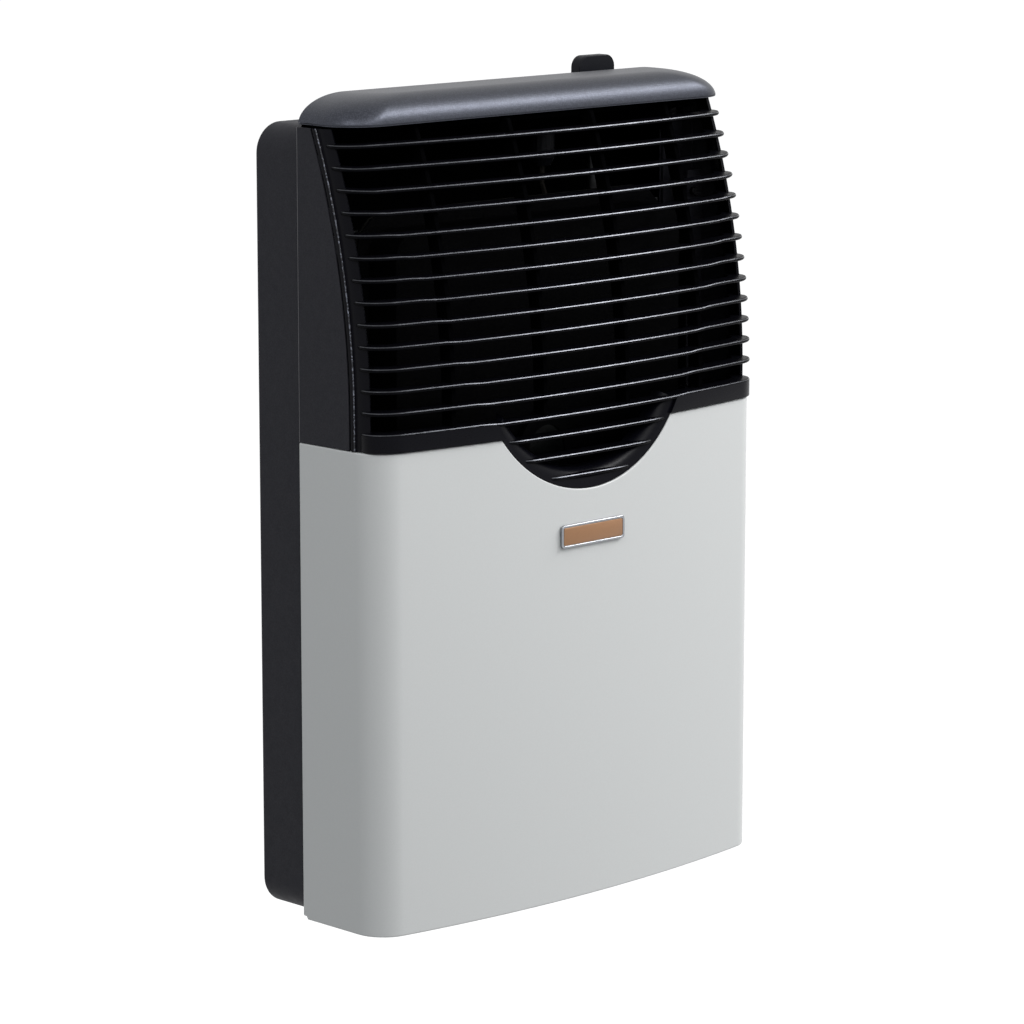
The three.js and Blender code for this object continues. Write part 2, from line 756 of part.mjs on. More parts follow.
function backPlate() {
  const plate = prism('y', boxOutline(0), 0, -boxSheet);
  const fixings = [-1, 1].flatMap((side) => [keyhole(side),
    drill('y', fixingRadius, boxSheet, -2 * boxSheet, [side * fixingOffset, fixingHeight])]);
  const flue = drill('y', intakeRadius + slip, boxSheet, -2 * boxSheet, [0, flueHeight], 28);
  return cut(plate, ...fixings, flue);
}

// Walls round the back plate, with a lip folded in against it and a flange in front.
function backBox() {
  const rear = -boxSheet - seat;
  const walls = cut(prism('y', boxOutline(0), rear, -boxDepth),
    prism('y', boxOutline(boxSheet), rear - boxSheet, boxSheet - boxDepth),
    prism('y', boxOutline(boxLip), 0, -boxDepth / 2),
    prism('y', boxOutline(boxFlange), -boxDepth / 2, -boxDepth - boxSheet));
  const screws = [-1, 1].flatMap((side) => screwHeights.map((height) =>
    drill('y', screwRadius + slip, -boxDepth / 2, -panelRear, [side * screwX, height])));
  const above = [boxHeight - 2 * boxSheet, boxHeight + boxSheet];
  const rod = drill('z', rodRadius + 2 * slip, ...above, [knobOffset, -controlDepth]);
  const igniter = drill('z', igniterNeck + slip, ...above, [igniterOffset, -controlDepth]);
  const inlet = drill('z', inletRadius + 2 * slip, -boxSheet, 2 * boxSheet,
    [knobOffset, -controlDepth], 24);
  return cut(walls, ...screws, rod, igniter, inlet);
}

const screwHeights = [lowerScrewHeight, sidePanelTop - upperScrewDrop];

function rail(side) {
  const outline = [
    [railInner - railFootWidth, -railRear], [railFace, -railRear], [railFace, -railFront],
    [railInner - railTongue, -railFront], [railInner - railTongue, chassisSheet - railFront],
    [railInner, chassisSheet - railFront], [railInner, -railRear - chassisSheet],
    [railInner - railFootWidth, -railRear - chassisSheet],
  ].map(([x, y]) => [side * x, y]);
  const lower = prism('z', outline, railBottom, railTop);
  // The front fold ends where the leaning side panel would no longer hide it.
  const tongueTop = grilleScrewHeights[1] + 2 * grilleLug;
  const clearance = block(spanX(side, railInner - 2 * railTongue, half),
    [-railRear - topRailDepth, -railFront - sheet], [tongueTop, railTop + sheet]);
  const rearHoles = screwHeights.map((height) =>
    drill('y', screwRadius + slip, -panelRear, -topRailRear, [side * screwX, height]));
  const frontHoles = grilleScrewHeights.map((height) =>
    drill('y', screwRadius + slip, -railRear - 2 * chassisSheet, -railFront - sheet,
      [side * grilleScrewX, height]));
  return cut(lower, clearance, ...rearHoles, ...frontHoles);
}

function topRail() {
  const rear = topRailRear;
  const front = rear + topRailDepth;
  const top = coverBase - seat;
  const outline = [
    [-rear, top], [-rear, top - topRailDrop], [-rear - chassisSheet, top - topRailDrop],
    [-rear - chassisSheet, top - chassisSheet], [chassisSheet - front, top - chassisSheet],
    [chassisSheet - front, top - topRailApron], [-front, top - topRailApron], [-front, top],
  ];
  const reach = railInner - seam;
  const body = prism('x', outline, -reach, reach);
  const rearHoles = [-1, 1].map((side) => drill('y', screwRadius + slip, -railRear,
    -topRailRear - 2 * chassisSheet, [side * screwX, screwHeights[1]]));
  const topHoles = [-1, 1].map((side) => drill('z', screwRadius + slip, top - 2 * chassisSheet,
    top + chassisSheet, [side * coverLugOffset, -lugScrewDepth]));
  return cut(body, ...rearHoles, ...topHoles);
}

// Bottom tray: closes the foot of the cabinet and lets room air in through its slots.
function baseTray() {
  const bottom = sheet + seat;
  const rear = -topRailRear;
  const reach = railInner - seat;
  const front = frontCurve(-sheet - seam, rad(frameWrap), 3, 8);
  const plate = prism('z', [[-reach, rear], [-reach, cornerY], ...front, [reach, cornerY],
    [reach, rear]], bottom, bottom + chassisSheet);
  const flanges = [-1, 1].map((side) => block(spanX(side, reach - chassisSheet, reach),
    [rear, chassisSheet + seat - railFront], [bottom, bottom + trayFlange]));
  const slots = [];
  const pitch = (2 * (reach - chassisSheet)) / traySlots;
  const middle = -(topRailRear + sidePanelDepth) / 2;
  for (let i = 0; i < traySlots; i += 1) {
    const x = (i - (traySlots - 1) / 2) * pitch;
    slots.push(block([x - traySlotWidth / 2, x + traySlotWidth / 2],
      [middle - traySlotDepth / 2, middle + traySlotDepth / 2], [0, bottom + 2 * chassisSheet]));
  }
  const holes = [-1, 1].map((side) => drill('z', screwRadius + slip, 0, bottom + 2 * chassisSheet,
    [side * baseScrewOffset, -baseScrewDepth()]));
  return cut(add(plate, ...flanges), ...slots, ...holes);
}

// Radiation shield in front of the chamber, a hat section on the rails' tongues.
function heatShield() {
  const foot = railFront + seat;
  const wall = half - shieldInset;
  const edge = railInner - seam;
  const t = chassisSheet;
  const outline = [
    [-edge, -foot], [t - wall, -foot], [t - wall, t - shieldFace], [wall - t, t - shieldFace],
    [wall - t, -foot], [edge, -foot], [edge, -foot - t], [wall, -foot - t],
    [wall, -shieldFace], [-wall, -shieldFace], [-wall, -foot - t], [-edge, -foot - t],
  ];
  const feed = block([wall - 2 * t, feedX + 2 * pipeRadius],
    [-boxDepth, 3 * t - shieldFace], [shieldBottom - t, burnerHeight + 3 * burnerRadius]);
  return cut(prism('z', outline, shieldBottom, shieldTop), feed);
}

// ---------------------------------------------------------------- combustion chamber

const chamberOutline = (grow) => roundedBox(-chamberHalf - grow, chamberHalf + grow,
  chamberBottom - grow, chamberTop + grow, chamberCorner + grow, 3);

function chamberRear() {
  const t = chassisSheet;
  const dish = cut(
    add(prism('y', chamberOutline(0), -chamberBack, -rearFlangeFront),
      prism('y', chamberOutline(chamberFlange), t - rearFlangeFront, -rearFlangeFront)),
    prism('y', chamberOutline(-t), -chamberBack - t, -rearFlangeFront - t));
  const flue = drill('y', flueRadius + slip, -boxDepth, -rearFlangeFront, [0, flueHeight], 28);
  const mouth = block([pipeWall - ductWidth / 2, ductWidth / 2 - pipeWall],
    [-boxDepth, -rearFlangeFront], [ductMouth + pipeWall, ductMouth + ductFoot - pipeWall]);
  return cut(dish, flue, mouth);
}

function chamberGasket() {
  return cut(prism('y', chamberOutline(chamberFlange), -gasketRear, -gasketRear - gasketThickness),
    prism('y', chamberOutline(0), -gasketRear + sheet, -gasketRear - gasketThickness - sheet));
}

function chamberFront() {
  const t = chassisSheet;
  const shell = cut(
    add(prism('y', chamberOutline(0), -frontFlangeRear, -chamberFace),
      prism('y', chamberOutline(chamberFlange), -frontFlangeRear, -frontFlangeRear - t)),
    prism('y', chamberOutline(-t), -frontFlangeRear + t, t - chamberFace));
  const window = drill('y', windowRadius - windowRim / 2, t - chamberFace - 2 * t, -chamberFace - t,
    [0, windowHeight], 32);
  const burner = drill('x', venturiRadius + slip, chamberHalf - 2 * t, chamberHalf + t,
    [-burnerDepth, burnerHeight]);
  const pilots = [0, 1, 2].map((i) => drill('z', pilotHole, chamberBottom - t, chamberBottom + 2 * t,
    [pilotX(i), -burnerDepth]));
  return cut(shell, window, burner, ...pilots);
}

function chamberBracket(side) {
  const t = chassisSheet;
  const back = boxSheet + seat;
  const wall = chamberHalf + seat;
  const outline = [
    [wall + bracketFoot, -back], [wall, -back], [wall, -bracketFront],
    [wall + chamberFlange, -bracketFront], [wall + chamberFlange, t - bracketFront],
    [wall + t, t - bracketFront], [wall + t, -back - t], [wall + bracketFoot, -back - t],
  ].map(([x, y]) => [side * x, y]);
  return prism('z', outline, chamberBottom, chamberTop);
}

// Sight glass in its clamp ring, behind the scoop of the grille.
function sightGlass() {
  const rear = -chamberFace - seat;
  return bar('y', windowRadius, rear, rear - glassThickness, [0, windowHeight], 32);
}

function sightFrame() {
  const rear = -chamberFace - seat;
  const glassFront = rear - glassThickness - seat;
  const profile = [
    [windowRadius + slip, rear], [windowRadius + windowRim, rear],
    [windowRadius + windowRim, glassFront - chassisSheet],
    [windowRadius - windowRim / 2, glassFront - chassisSheet], [windowRadius - windowRim / 2, glassFront],
    [windowRadius + slip, glassFront], [windowRadius + slip, rear],
  ];
  return turned('y', profile, [0, windowHeight], 32);
}

// ---------------------------------------------------------------- flue and air

function fluePipe() {
  const collarFront = -chamberBack + seat;
  const profile = [
    [flueRadius - pipeWall, -pipeRecess], [flueRadius, -pipeRecess],
    [flueRadius, collarFront + chassisSheet], [flueRadius + flueCollar, collarFront + chassisSheet],
    [flueRadius + flueCollar, collarFront], [flueRadius, collarFront],
    [flueRadius, -chamberBack - chassisSheet], [flueRadius - pipeWall, -chamberBack - chassisSheet],
    [flueRadius - pipeWall, -pipeRecess],
  ];
  return turned('y', profile, [0, flueHeight], 28);
}

const drumFront = boxDepth - 2 * chassisSheet;
const drumFlangeBack = boxSheet + seat + gasketThickness + seat;

function intakeDrum() {
  const outer = intakeRadius;
  const profile = [
    [outer - pipeWall, -pipeRecess], [outer, -pipeRecess], [outer, -drumFlangeBack],
    [outer + intakeFlange, -drumFlangeBack], [outer + intakeFlange, -drumFlangeBack - chassisSheet],
    [outer, -drumFlangeBack - chassisSheet], [outer, -drumFront],
    [flueRadius + slip, -drumFront], [flueRadius + slip, pipeWall - drumFront],
    [outer - pipeWall, pipeWall - drumFront], [outer - pipeWall, -pipeRecess],
  ];
  const drum = turned('y', profile, [0, flueHeight], 28);
  const outlet = block([pipeWall - ductWidth / 2, ductWidth / 2 - pipeWall],
    [-ductBack - pipeWall, pipeWall - ductBack - ductDepth], [flueHeight - outer - pipeWall, flueHeight]);
  const flueRoom = drill('y', flueRadius + slip, 0, -boxDepth, [0, flueHeight], 28);
  return cut(drum, cut(outlet, flueRoom));
}

function intakeGasket() {
  const rear = -boxSheet - seat;
  return ring('y', intakeRadius + slip, intakeRadius + intakeFlange, rear, rear - gasketThickness,
    [0, flueHeight], 28);
}

const ductBack = drumFlangeBack + chassisSheet + seat;
const ductMouth = chamberBottom + chamberCorner;

// Rectangular duct that carries air from the drum down to the burner.
function airDuct() {
  const w = ductWidth / 2;
  const front = ductBack + ductDepth;
  const drumClear = intakeRadius + seat;
  const top = flueHeight - Math.sqrt(drumClear ** 2 - w ** 2) + pipeWall;
  const outer = add(
    block([-w, w], [-ductBack, -front], [ductMouth, top]),
    block([-w, w], [-ductBack, seat - chamberBack], [ductMouth, ductMouth + ductFoot]));
  const inner = add(
    block([pipeWall - w, w - pipeWall], [-ductBack - pipeWall, pipeWall - front],
      [ductMouth + pipeWall, top + pipeWall]),
    block([pipeWall - w, w - pipeWall], [-ductBack - pipeWall, -chamberBack - pipeWall],
      [ductMouth + pipeWall, ductMouth + ductFoot - pipeWall]));
  const drum = drill('y', drumClear, 0, -boxDepth - pipeWall, [0, flueHeight], 28);
  const flange = drill('y', intakeRadius + intakeFlange + seat, 0,
    -drumFlangeBack - chassisSheet - seat, [0, flueHeight], 28);
  return cut(outer, inner, drum, flange);
}

// ---------------------------------------------------------------- burner and pilot

function burner() {
  const start = burnerInset - chamberHalf;
  const neck = chamberHalf - burnerInset;
  const end = chamberHalf + venturiLength;
  const profile = [
    [0, start], [burnerRadius, start], [burnerRadius, neck - burnerRadius], [venturiRadius, neck],
    [venturiRadius, end], [venturiRadius - pipeWall, end], [venturiRadius - pipeWall, neck],
    [burnerRadius - pipeWall, neck - burnerRadius], [burnerRadius - pipeWall, start + pipeWall],
    [0, start + pipeWall],
  ];
  const body = turned('x', profile, [-burnerDepth, burnerHeight], 16);
  const ports = [];
  const pitch = (2 * (chamberHalf - 2 * burnerInset)) / burnerPorts;
  for (let i = 0; i < burnerPorts; i += 1) {
    const x = (i - (burnerPorts - 1) / 2) * pitch - burnerInset / 2;
    ports.push(block([x - portWidth / 2, x + portWidth / 2],
      [-burnerDepth - portDepth / 2, -burnerDepth + portDepth / 2],
      [burnerHeight, burnerHeight + 2 * burnerRadius]));
  }
  return cut(body, ...ports);
}

// Cradle that holds the burner up from the floor of the chamber.
function burnerCradle() {
  const t = chassisSheet;
  const x = -chamberHalf / 2;
  const floor = chamberBottom + t + seat;
  const foot = block([x - burnerRadius, x + burnerRadius],
    [-burnerDepth - burnerRadius, -burnerDepth + burnerRadius], [floor, floor + t]);
  const web = block([x - t / 2, x + t / 2],
    [-burnerDepth - burnerRadius, -burnerDepth + burnerRadius], [floor, burnerHeight]);
  const seatCut = drill('x', burnerRadius + seat, x - burnerRadius, x + burnerRadius,
    [-burnerDepth, burnerHeight], 20);
  return cut(add(foot, web), seatCut);
}

function injector() {
  const from = injectorStart;
  const hexLength = 2 * injectorRadius;
  const bore = pipeRadius + slip;
  const body = turned('x', [[0, from], [venturiRadius, from], [venturiRadius, from + hexLength],
    [0, from + hexLength]], [-burnerDepth, burnerHeight], 6);
  const orifice = drill('x', orificeRadius, from - pipeWall, from + hexLength / 2,
    [-burnerDepth, burnerHeight], 8);
  const socket = drill('z', bore, burnerHeight - 2 * venturiRadius, burnerHeight - venturiRadius / 2,
    [feedX, -burnerDepth], 12);
  return cut(body, orifice, socket);
}

const pilotX = (index) => pilotOffset + index * pilotSpacing;
const pilotHole = pilotRadius + 2 * slip;
const pilotPlate = chamberBottom + chassisSheet + seat;
const pilotTop = burnerHeight - burnerRadius - pilotGap;

// Plate on the chamber floor with the pilot, the thermocouple and the electrode in it.
function pilotBracket() {
  const t = chassisSheet;
  const plate = block([pilotX(0) - pilotSpacing, pilotX(2) + pilotSpacing],
    [-burnerDepth - burnerRadius, -burnerDepth + burnerRadius], [pilotPlate, pilotPlate + t]);
  const holes = [pilotRadius, probeRadius, probeRadius].map((radius, i) =>
    drill('z', radius + slip, pilotPlate - t, pilotPlate + 2 * t, [pilotX(i), -burnerDepth]));
  return cut(plate, ...holes);
}

function pilotBurner() {
  const at = [pilotX(0), -burnerDepth];
  const low = chamberBottom - pilotBelow;
  const socket = pilotPipeRadius + slip;
  const profile = [
    [0, low + pilotSocket], [socket, low + pilotSocket], [socket, low], [pilotRadius, low],
    [pilotRadius, pilotTop - pilotNose], [pilotTipRadius, pilotTop], [0, pilotTop],
  ];
  return turned('z', profile, at, 16);
}

// Route from the valve's front, straight out as far as mouth, across, and straight up to an end.
function riser(portX, start, mouth, toX, end) {
  const s = pipeSweep;
  return [
    [portX, start, portHeight], [portX, mouth, portHeight], [portX, mouth - s / 4, portHeight],
    [portX - s, mouth - s, portHeight + s / 3], [toX + s, s - burnerDepth, portHeight + s],
    [toX, -burnerDepth, end - 2 * s], [toX, -burnerDepth, end - s / 2], [toX, -burnerDepth, end],
  ];
}

function thermocouple() {
  const port = knobOffset + pilotSpacing / 2;
  const low = chamberBottom - probeBelow;
  const nutEnd = -valveFront - probeNutLength;
  const probe = bar('z', probeRadius, low, pilotTop, [pilotX(1), -burnerDepth], 12);
  const route = riser(port, nutEnd + leadRadius, nutEnd - leadRadius, pilotX(1), low + leadRadius / 2);
  const nut = bar('y', 2 * leadRadius, nutEnd, -valveFront - seat, [port, portHeight], 6);
  return add(probe, pipe(route, leadRadius / 2, 6, 16), nut);
}

function sparkElectrode() {
  const low = chamberBottom - electrodeBelow;
  const insulatorTop = pilotPlate + insulatorRise;
  const profile = [
    [0, low], [probeRadius, low], [probeRadius, insulatorTop],
    [electrodeRadius, insulatorTop + probeRadius], [electrodeRadius, pilotTop], [0, pilotTop],
  ];
  return turned('z', profile, [pilotX(2), -burnerDepth], 12);
}

// High tension lead from the electrode, behind the chamber, up to the igniter.
function ignitionLead() {
  const s = pipeSweep;
  const x = pilotX(2);
  const low = chamberBottom - electrodeBelow - seat;
  const behind = -controlDepth;
  const up = igniterOffset + igniterRadius + leadClear;
  const end = igniterBase - seat;
  return pipe([
    [x, -burnerDepth, low], [x, -burnerDepth, low - s / 2], [x, s - burnerDepth, low - s],
    [up, behind - s, low - s / 2], [up, behind, low + 2 * s], [up, behind, (low + end) / 2],
    [up, behind, end - 5 * s], [igniterOffset, behind, end - 1.5 * s], [igniterOffset, behind, end],
  ], leadRadius, 6, 36);
}

// ---------------------------------------------------------------- gas line and valve

const valveAt = [knobOffset, -controlDepth];

function valveBracket() {
  const t = chassisSheet;
  const back = boxSheet + seat;
  const x0 = knobOffset - valveWidth / 2 - valveBracketMargin;
  const x1 = knobOffset + valveWidth / 2 + valveBracketMargin;
  const low = valveBottom - valveBracketDrop;
  const high = valveTop - valveBracketMargin;
  return add(
    block([x0, x1], [-back, -back - t], [low, high]),
    block([x0, x0 + t], [-back, -controlDepth], [low, high]),
    block([x1 - t, x1], [-back, -controlDepth], [low, low + valveLugHeight]));
}

function gasValve() {
  const x0 = knobOffset - valveWidth / 2;
  const x1 = knobOffset + valveWidth / 2;
  const outletAt = [-controlDepth, valveOutlet];
  const body = prism('z', roundedBox(x0, x1, -valveFront, -valveBack, valveCorner, 3),
    valveBottom, valveTop);
  const boss = bar('z', valveBossRadius, valveTop - sheet, bossTop, valveAt, 20);
  const outlet = bar('x', outletRadius, x1 - sheet, x1 + outletLength, outletAt, 6);
  const stemBore = drill('z', stemRadius + slip, valveTop - 2 * pressTravel - stemRoom,
    bossTop + sheet, valveAt);
  const inlet = drill('z', inletNeckRadius, valveBottom - sheet,
    valveBottom + inletNeckLength + stemRoom / 2, valveAt, 20);
  const outletBore = drill('x', pipeRadius + slip, x1, x1 + outletLength + sheet, outletAt, 12);
  const pilotBore = drill('y', pilotPipeRadius + slip, pilotPipeSocket - valveFront,
    -valveFront - sheet, pilotPort, 12);
  return cut(add(body, boss, outlet), stemBore, inlet, outletBore, pilotBore);
}

const valveOutlet = valveBottom + valveHeight / 3;
const portHeight = valveBottom + valveHeight / 2;
const pilotPort = [knobOffset - pilotSpacing, portHeight];

function inletFitting() {
  const end = inletRecess;
  const shoulder = valveBottom - seat;
  const top = valveBottom + inletNeckLength;
  const neck = inletNeckRadius - slip;
  const bore = neck - inletNeckWall;
  const profile = [
    [inletBore, end], [inletRadius, end], [inletRadius, shoulder], [neck, shoulder], [neck, top],
    [bore, top], [bore, end + inletSocket], [inletBore, end + inletSocket], [inletBore, end],
  ];
  return turned('z', profile, valveAt, 24);
}

function burnerPipe() {
  const s = pipeSweep;
  const from = knobOffset + valveWidth / 2 + seat;
  const mouth = from + outletLength + seat;
  const end = burnerHeight - venturiRadius / 2 - seat;
  return pipe([
    [from, -controlDepth, valveOutlet], [mouth, -controlDepth, valveOutlet],
    [mouth + pipeRadius / 2, -controlDepth, valveOutlet],
    [feedX, -controlDepth - s, valveOutlet + s / 2], [feedX, 2 * s - burnerDepth, valveOutlet + 2.5 * s],
    [feedX, -burnerDepth, end - 3 * s], [feedX, -burnerDepth, end - s], [feedX, -burnerDepth, end],
  ], pipeRadius, 8, 20);
}

function pilotPipe() {
  const start = pilotPipeSocket - seat - valveFront;
  const end = chamberBottom - pilotBelow + pilotSocket - seat;
  const route = riser(pilotPort[0], start, -valveFront - pilotPipeRadius, pilotX(0), end);
  return pipe(route, pilotPipeRadius, 6, 20);
}

// ---------------------------------------------------------------- control rod and knob

function valveStem() {
  const low = valveTop - pressTravel;
  return bar('z', stemRadius, low, sleeveBase + sleeveLength / 2, valveAt, 12);
}

// Return spring between the valve's boss and the collar.
function pressSpring() {
  const low = springBase + springWire / 2;
  const high = springBase + springLength - springWire / 2;
  const points = [];
  const steps = springTurns * 8;
  for (let i = 0; i <= steps; i += 1) {
    const angle = (i / 8) * 2 * Math.PI;
    points.push(new THREE.Vector3(knobOffset + springRadius * Math.cos(angle),
      springRadius * Math.sin(angle) - controlDepth, low + ((high - low) * i) / steps));
  }
  const path = new THREE.CatmullRomCurve3(points);
  const section = new THREE.Shape(arc(0, 0, springWire / 2, 0, 2 * Math.PI, 5).slice(1).map(flatXY));
  return solid(new THREE.ExtrudeGeometry(section, { steps, extrudePath: path, bevelEnabled: false }));
}

function pressCollar() {
  return ring('z', stemRadius + slip, collarRadius, collarBase, collarBase + collarHeight, valveAt, 20);
}

function controlRod() {
  const top = knobTop - knobPaddle / 2 - seat;
  const joint = sleeveBase + sleeveLength;
  const profile = [
    [0, joint - sleeveLength / 2 + seat], [stemRadius + slip, joint - sleeveLength / 2 + seat],
    [stemRadius + slip, sleeveBase], [sleeveRadius, sleeveBase], [sleeveRadius, joint],
    [rodRadius, joint], [rodRadius, top], [0, top],
  ];
  return turned('z', profile, valveAt, 16);
}

function rodGuide() {
  const t = chassisSheet;
  const back = boxSheet + seat;
  const [x0, x1] = [knobOffset - guideWidth / 2, knobOffset + guideWidth / 2];
  const foot = block([x0, x1], [-back, -back - t], [guideHeight - guideWidth, guideHeight]);
  const arm = block([x0, x1], [-back, -controlDepth - guideWidth / 2], [guideHeight - t, guideHeight]);
  const hole = drill('z', rodRadius + slip, guideHeight - 2 * t, guideHeight + t, valveAt, 20);
  return cut(add(foot, arm), hole);
}

function controlKnob() {
  const hubBase = bezelTop + pressTravel + knobClear;
  const paddleBase = knobTop - knobPaddle;
  const round = knobCornerRadius;
  const [x0, x1] = [knobOffset - knobWidth / 2, knobOffset + knobWidth / 2];
  const outline = [
    [x0, paddleBase], [x1, paddleBase],
    ...arc(x1 - round, knobTop - round, round, 0, Math.PI / 2, 6),
    ...arc(x0 + round, knobTop - round, round, Math.PI / 2, Math.PI, 6),
  ];
  const paddle = prism('y', outline, knobThickness / 2 - controlDepth, -controlDepth - knobThickness / 2);
  const hub = turned('z', [
    [0, hubBase], [knobHubRadius, hubBase], [knobHubRadius, paddleBase - knobHubChamfer / 2],
    [knobHubRadius - knobHubChamfer, paddleBase + knobHubChamfer / 2],
    [0, paddleBase + knobHubChamfer / 2],
  ], valveAt, 28);
  const bore = drill('z', rodRadius + slip, bezelTop, knobTop - knobPaddle / 2, valveAt, 16);
  return cut(add(paddle, hub), bore);
}

function knobBezel() {
  const base = boxHeight + seat;
  const inner = rodRadius + 2 * slip;
  const profile = [
    [inner, base], [bezelRadius, base], [bezelRadius, base + bezelHeight / 2],
    [bezelRadius - bezelHeight / 2, bezelTop], [inner, bezelTop], [inner, base],
  ];
  return turned('z', profile, valveAt, 20);
}

// ---------------------------------------------------------------- igniter

const igniterAt = [igniterOffset, -controlDepth];
const igniterShoulder = boxHeight - boxSheet - seat;
const igniterBase = igniterShoulder - igniterLength;
const neckTop = boxHeight + igniterNeckRise;

function igniterBody() {
  const low = igniterBase;
  const rim = igniterRadius + igniterCollar;
  const rimBase = igniterShoulder - igniterCollarHeight;
  const wellFloor = neckTop - 3 * buttonTravel - slip;
  const profile = [
    [0, low], [igniterRadius - igniterTaper / 2, low], [igniterRadius, low + igniterTaper],
    [igniterRadius, rimBase], [rim, rimBase], [rim, igniterShoulder], [igniterNeck, igniterShoulder],
    [igniterNeck, neckTop], [buttonRadius + slip, neckTop], [buttonRadius + slip, wellFloor],
    [0, wellFloor],
  ];
  return turned('z', profile, igniterAt, 16);
}

function igniterNut() {
  const base = boxHeight + seat;
  const hex = turned('z', [[0, base], [nutRadius, base], [nutRadius, base + nutHeight],
    [0, base + nutHeight]], igniterAt, 6);
  return cut(hex, drill('z', igniterNeck + slip, boxHeight, base + 2 * nutHeight, igniterAt, 24));
}

function igniterButton() {
  const headBase = neckTop + buttonTravel + slip;
  const low = neckTop - 2 * buttonTravel;
  const top = headBase + buttonHead;
  const profile = [
    [0, low], [buttonRadius, low], [buttonRadius, headBase], [buttonHeadRadius, headBase],
    [buttonHeadRadius, top - buttonRound],
    [buttonHeadRadius - 0.75 * buttonRound, top - 0.2 * buttonRound], [0, top],
  ];
  return turned('z', profile, igniterAt, 16);
}

// ---------------------------------------------------------------- screws

// Pan head screw with its head's underside at seatAt, pointing the way given by its tip.
function screw(axis, at, seatAt, tip) {
  const way = Math.sign(tip - seatAt);
  const head = seatAt - way * screwHead;
  const profile = [
    [0, tip], [screwRadius, tip], [screwRadius, seatAt], [screwHeadRadius, seatAt],
    [screwHeadRadius, head + (way * screwHead) / 2], [screwHeadRadius - screwChamfer, head], [0, head],
  ];
  const body = turned(axis, profile, at, 8);
  const across = [at[0] - screwHeadRadius, at[0] + screwHeadRadius];
  const depth = [head - way, head + way * screwSlot];
  const width = [at[1] - screwSlot / 2, at[1] + screwSlot / 2];
  return cut(body, axis === 'y' ? block(across, depth, width) : block(across, width, depth));
}

function railScrew(side, level) {
  const face = level === 0 ? railRear : topRailRear;
  return screw('y', [side * screwX, screwHeights[level]], -face - chassisSheet - seat,
    screwReach - boxDepth);
}

function grilleScrew(side, level) {
  const face = railFront + seat + frameWall + seat;
  return screw('y', [side * grilleScrewX, grilleScrewHeights[level]], -face,
    screwReach + chassisSheet - railFront);
}

const coverScrew = (side) => screw('z', [side * coverLugOffset, -lugScrewDepth],
  coverBase - seat - chassisSheet - seat, coverBase + screwReach);

const baseScrew = (side) => screw('z', [side * baseScrewOffset, -baseScrewDepth()], -seat,
  sheet + seat + chassisSheet + screwReach);

// ---------------------------------------------------------------- the assembly

const finish = (color, roughness, metalness) => () =>
  new THREE.MeshStandardMaterial({ color, roughness, metalness });

const paleEnamel = finish(0xd4d7d7, 0.35, 0);
const charcoalEnamel = finish(0x2b2b2f, 0.5, 0.1);
const satinCover = finish(0x4a4e59, 0.35, 0.4);
const blackSatin = finish(0x0c0c11, 0.35, 0);
const blackPlastic = finish(0x15151a, 0.45, 0);
const plateChrome = finish(0xc8ccd0, 0.15, 1);
const plateCopper = finish(0xa8784f, 0.4, 0.7);
const zinc = finish(0xb4b8bb, 0.4, 0.9);
const aluminisedSteel = finish(0xa3a7a8, 0.45, 0.8);
const enamelledSteel = finish(0x35373a, 0.6, 0.2);
const brass = finish(0xb5924c, 0.3, 1);
const copper = finish(0xb87349, 0.3, 1);
const aluminium = finish(0xb9bcbf, 0.35, 0.9);
const ceramic = finish(0xe8e4da, 0.4, 0);
const whiteRope = finish(0xd9d5c8, 0.9, 0);
const blackRubber = finish(0x111111, 0.8, 0);
const clearGlass = finish(0xdfe8e6, 0.05, 0);
const redPlastic = finish(0x8e1d1a, 0.35, 0);

const group = new THREE.Group();
group.name = 'gas_heater';

function place(name, body, material) {
  const { vertProperties, triVerts, numProp } = body.getMesh();
  const points = [];
  for (let i = 0; i < vertProperties.length; i += numProp) {
    points.push(vertProperties[i], vertProperties[i + 1], vertProperties[i + 2]);
  }
  const geometry = new THREE.BufferGeometry();
  geometry.setAttribute('position', new THREE.Float32BufferAttribute(points, 3));
  geometry.setIndex([...triVerts]);
  geometry.computeVertexNormals();
  const mesh = new THREE.Mesh(geometry, material());
  mesh.name = name;
  group.add(mesh);
}

const sides = [['left', -1], ['right', 1]];
const levels = ['lower', 'upper'];

place('back_box', backBox(), charcoalEnamel);
place('back_plate', backPlate(), charcoalEnamel);
place('front_panel', frontPanel(), paleEnamel);
place('grille', grille(), blackSatin);
place('top_cover', topCover(), satinCover);
const plate = platePair();
place('name_plate_bezel', plate.bezel, plateChrome);
place('name_plate_face', plate.face, plateCopper);

place('top_rail', topRail(), charcoalEnamel);
place('base_tray', baseTray(), zinc);
place('heat_shield', heatShield(), enamelledSteel);

for (const [word, side] of sides) {
  place(`side_panel_${word}`, sidePanel(side), charcoalEnamel);
  place(`chassis_rail_${word}`, rail(side), charcoalEnamel);
  place(`chamber_bracket_${word}`, chamberBracket(side), zinc);
  place(`cover_screw_${word}`, coverScrew(side), zinc);
  place(`base_screw_${word}`, baseScrew(side), zinc);
  levels.forEach((level, i) => {
    place(`rail_screw_${word}_${level}`, railScrew(side, i), zinc);
    place(`grille_screw_${word}_${level}`, grilleScrew(side, i), zinc);
  });
}

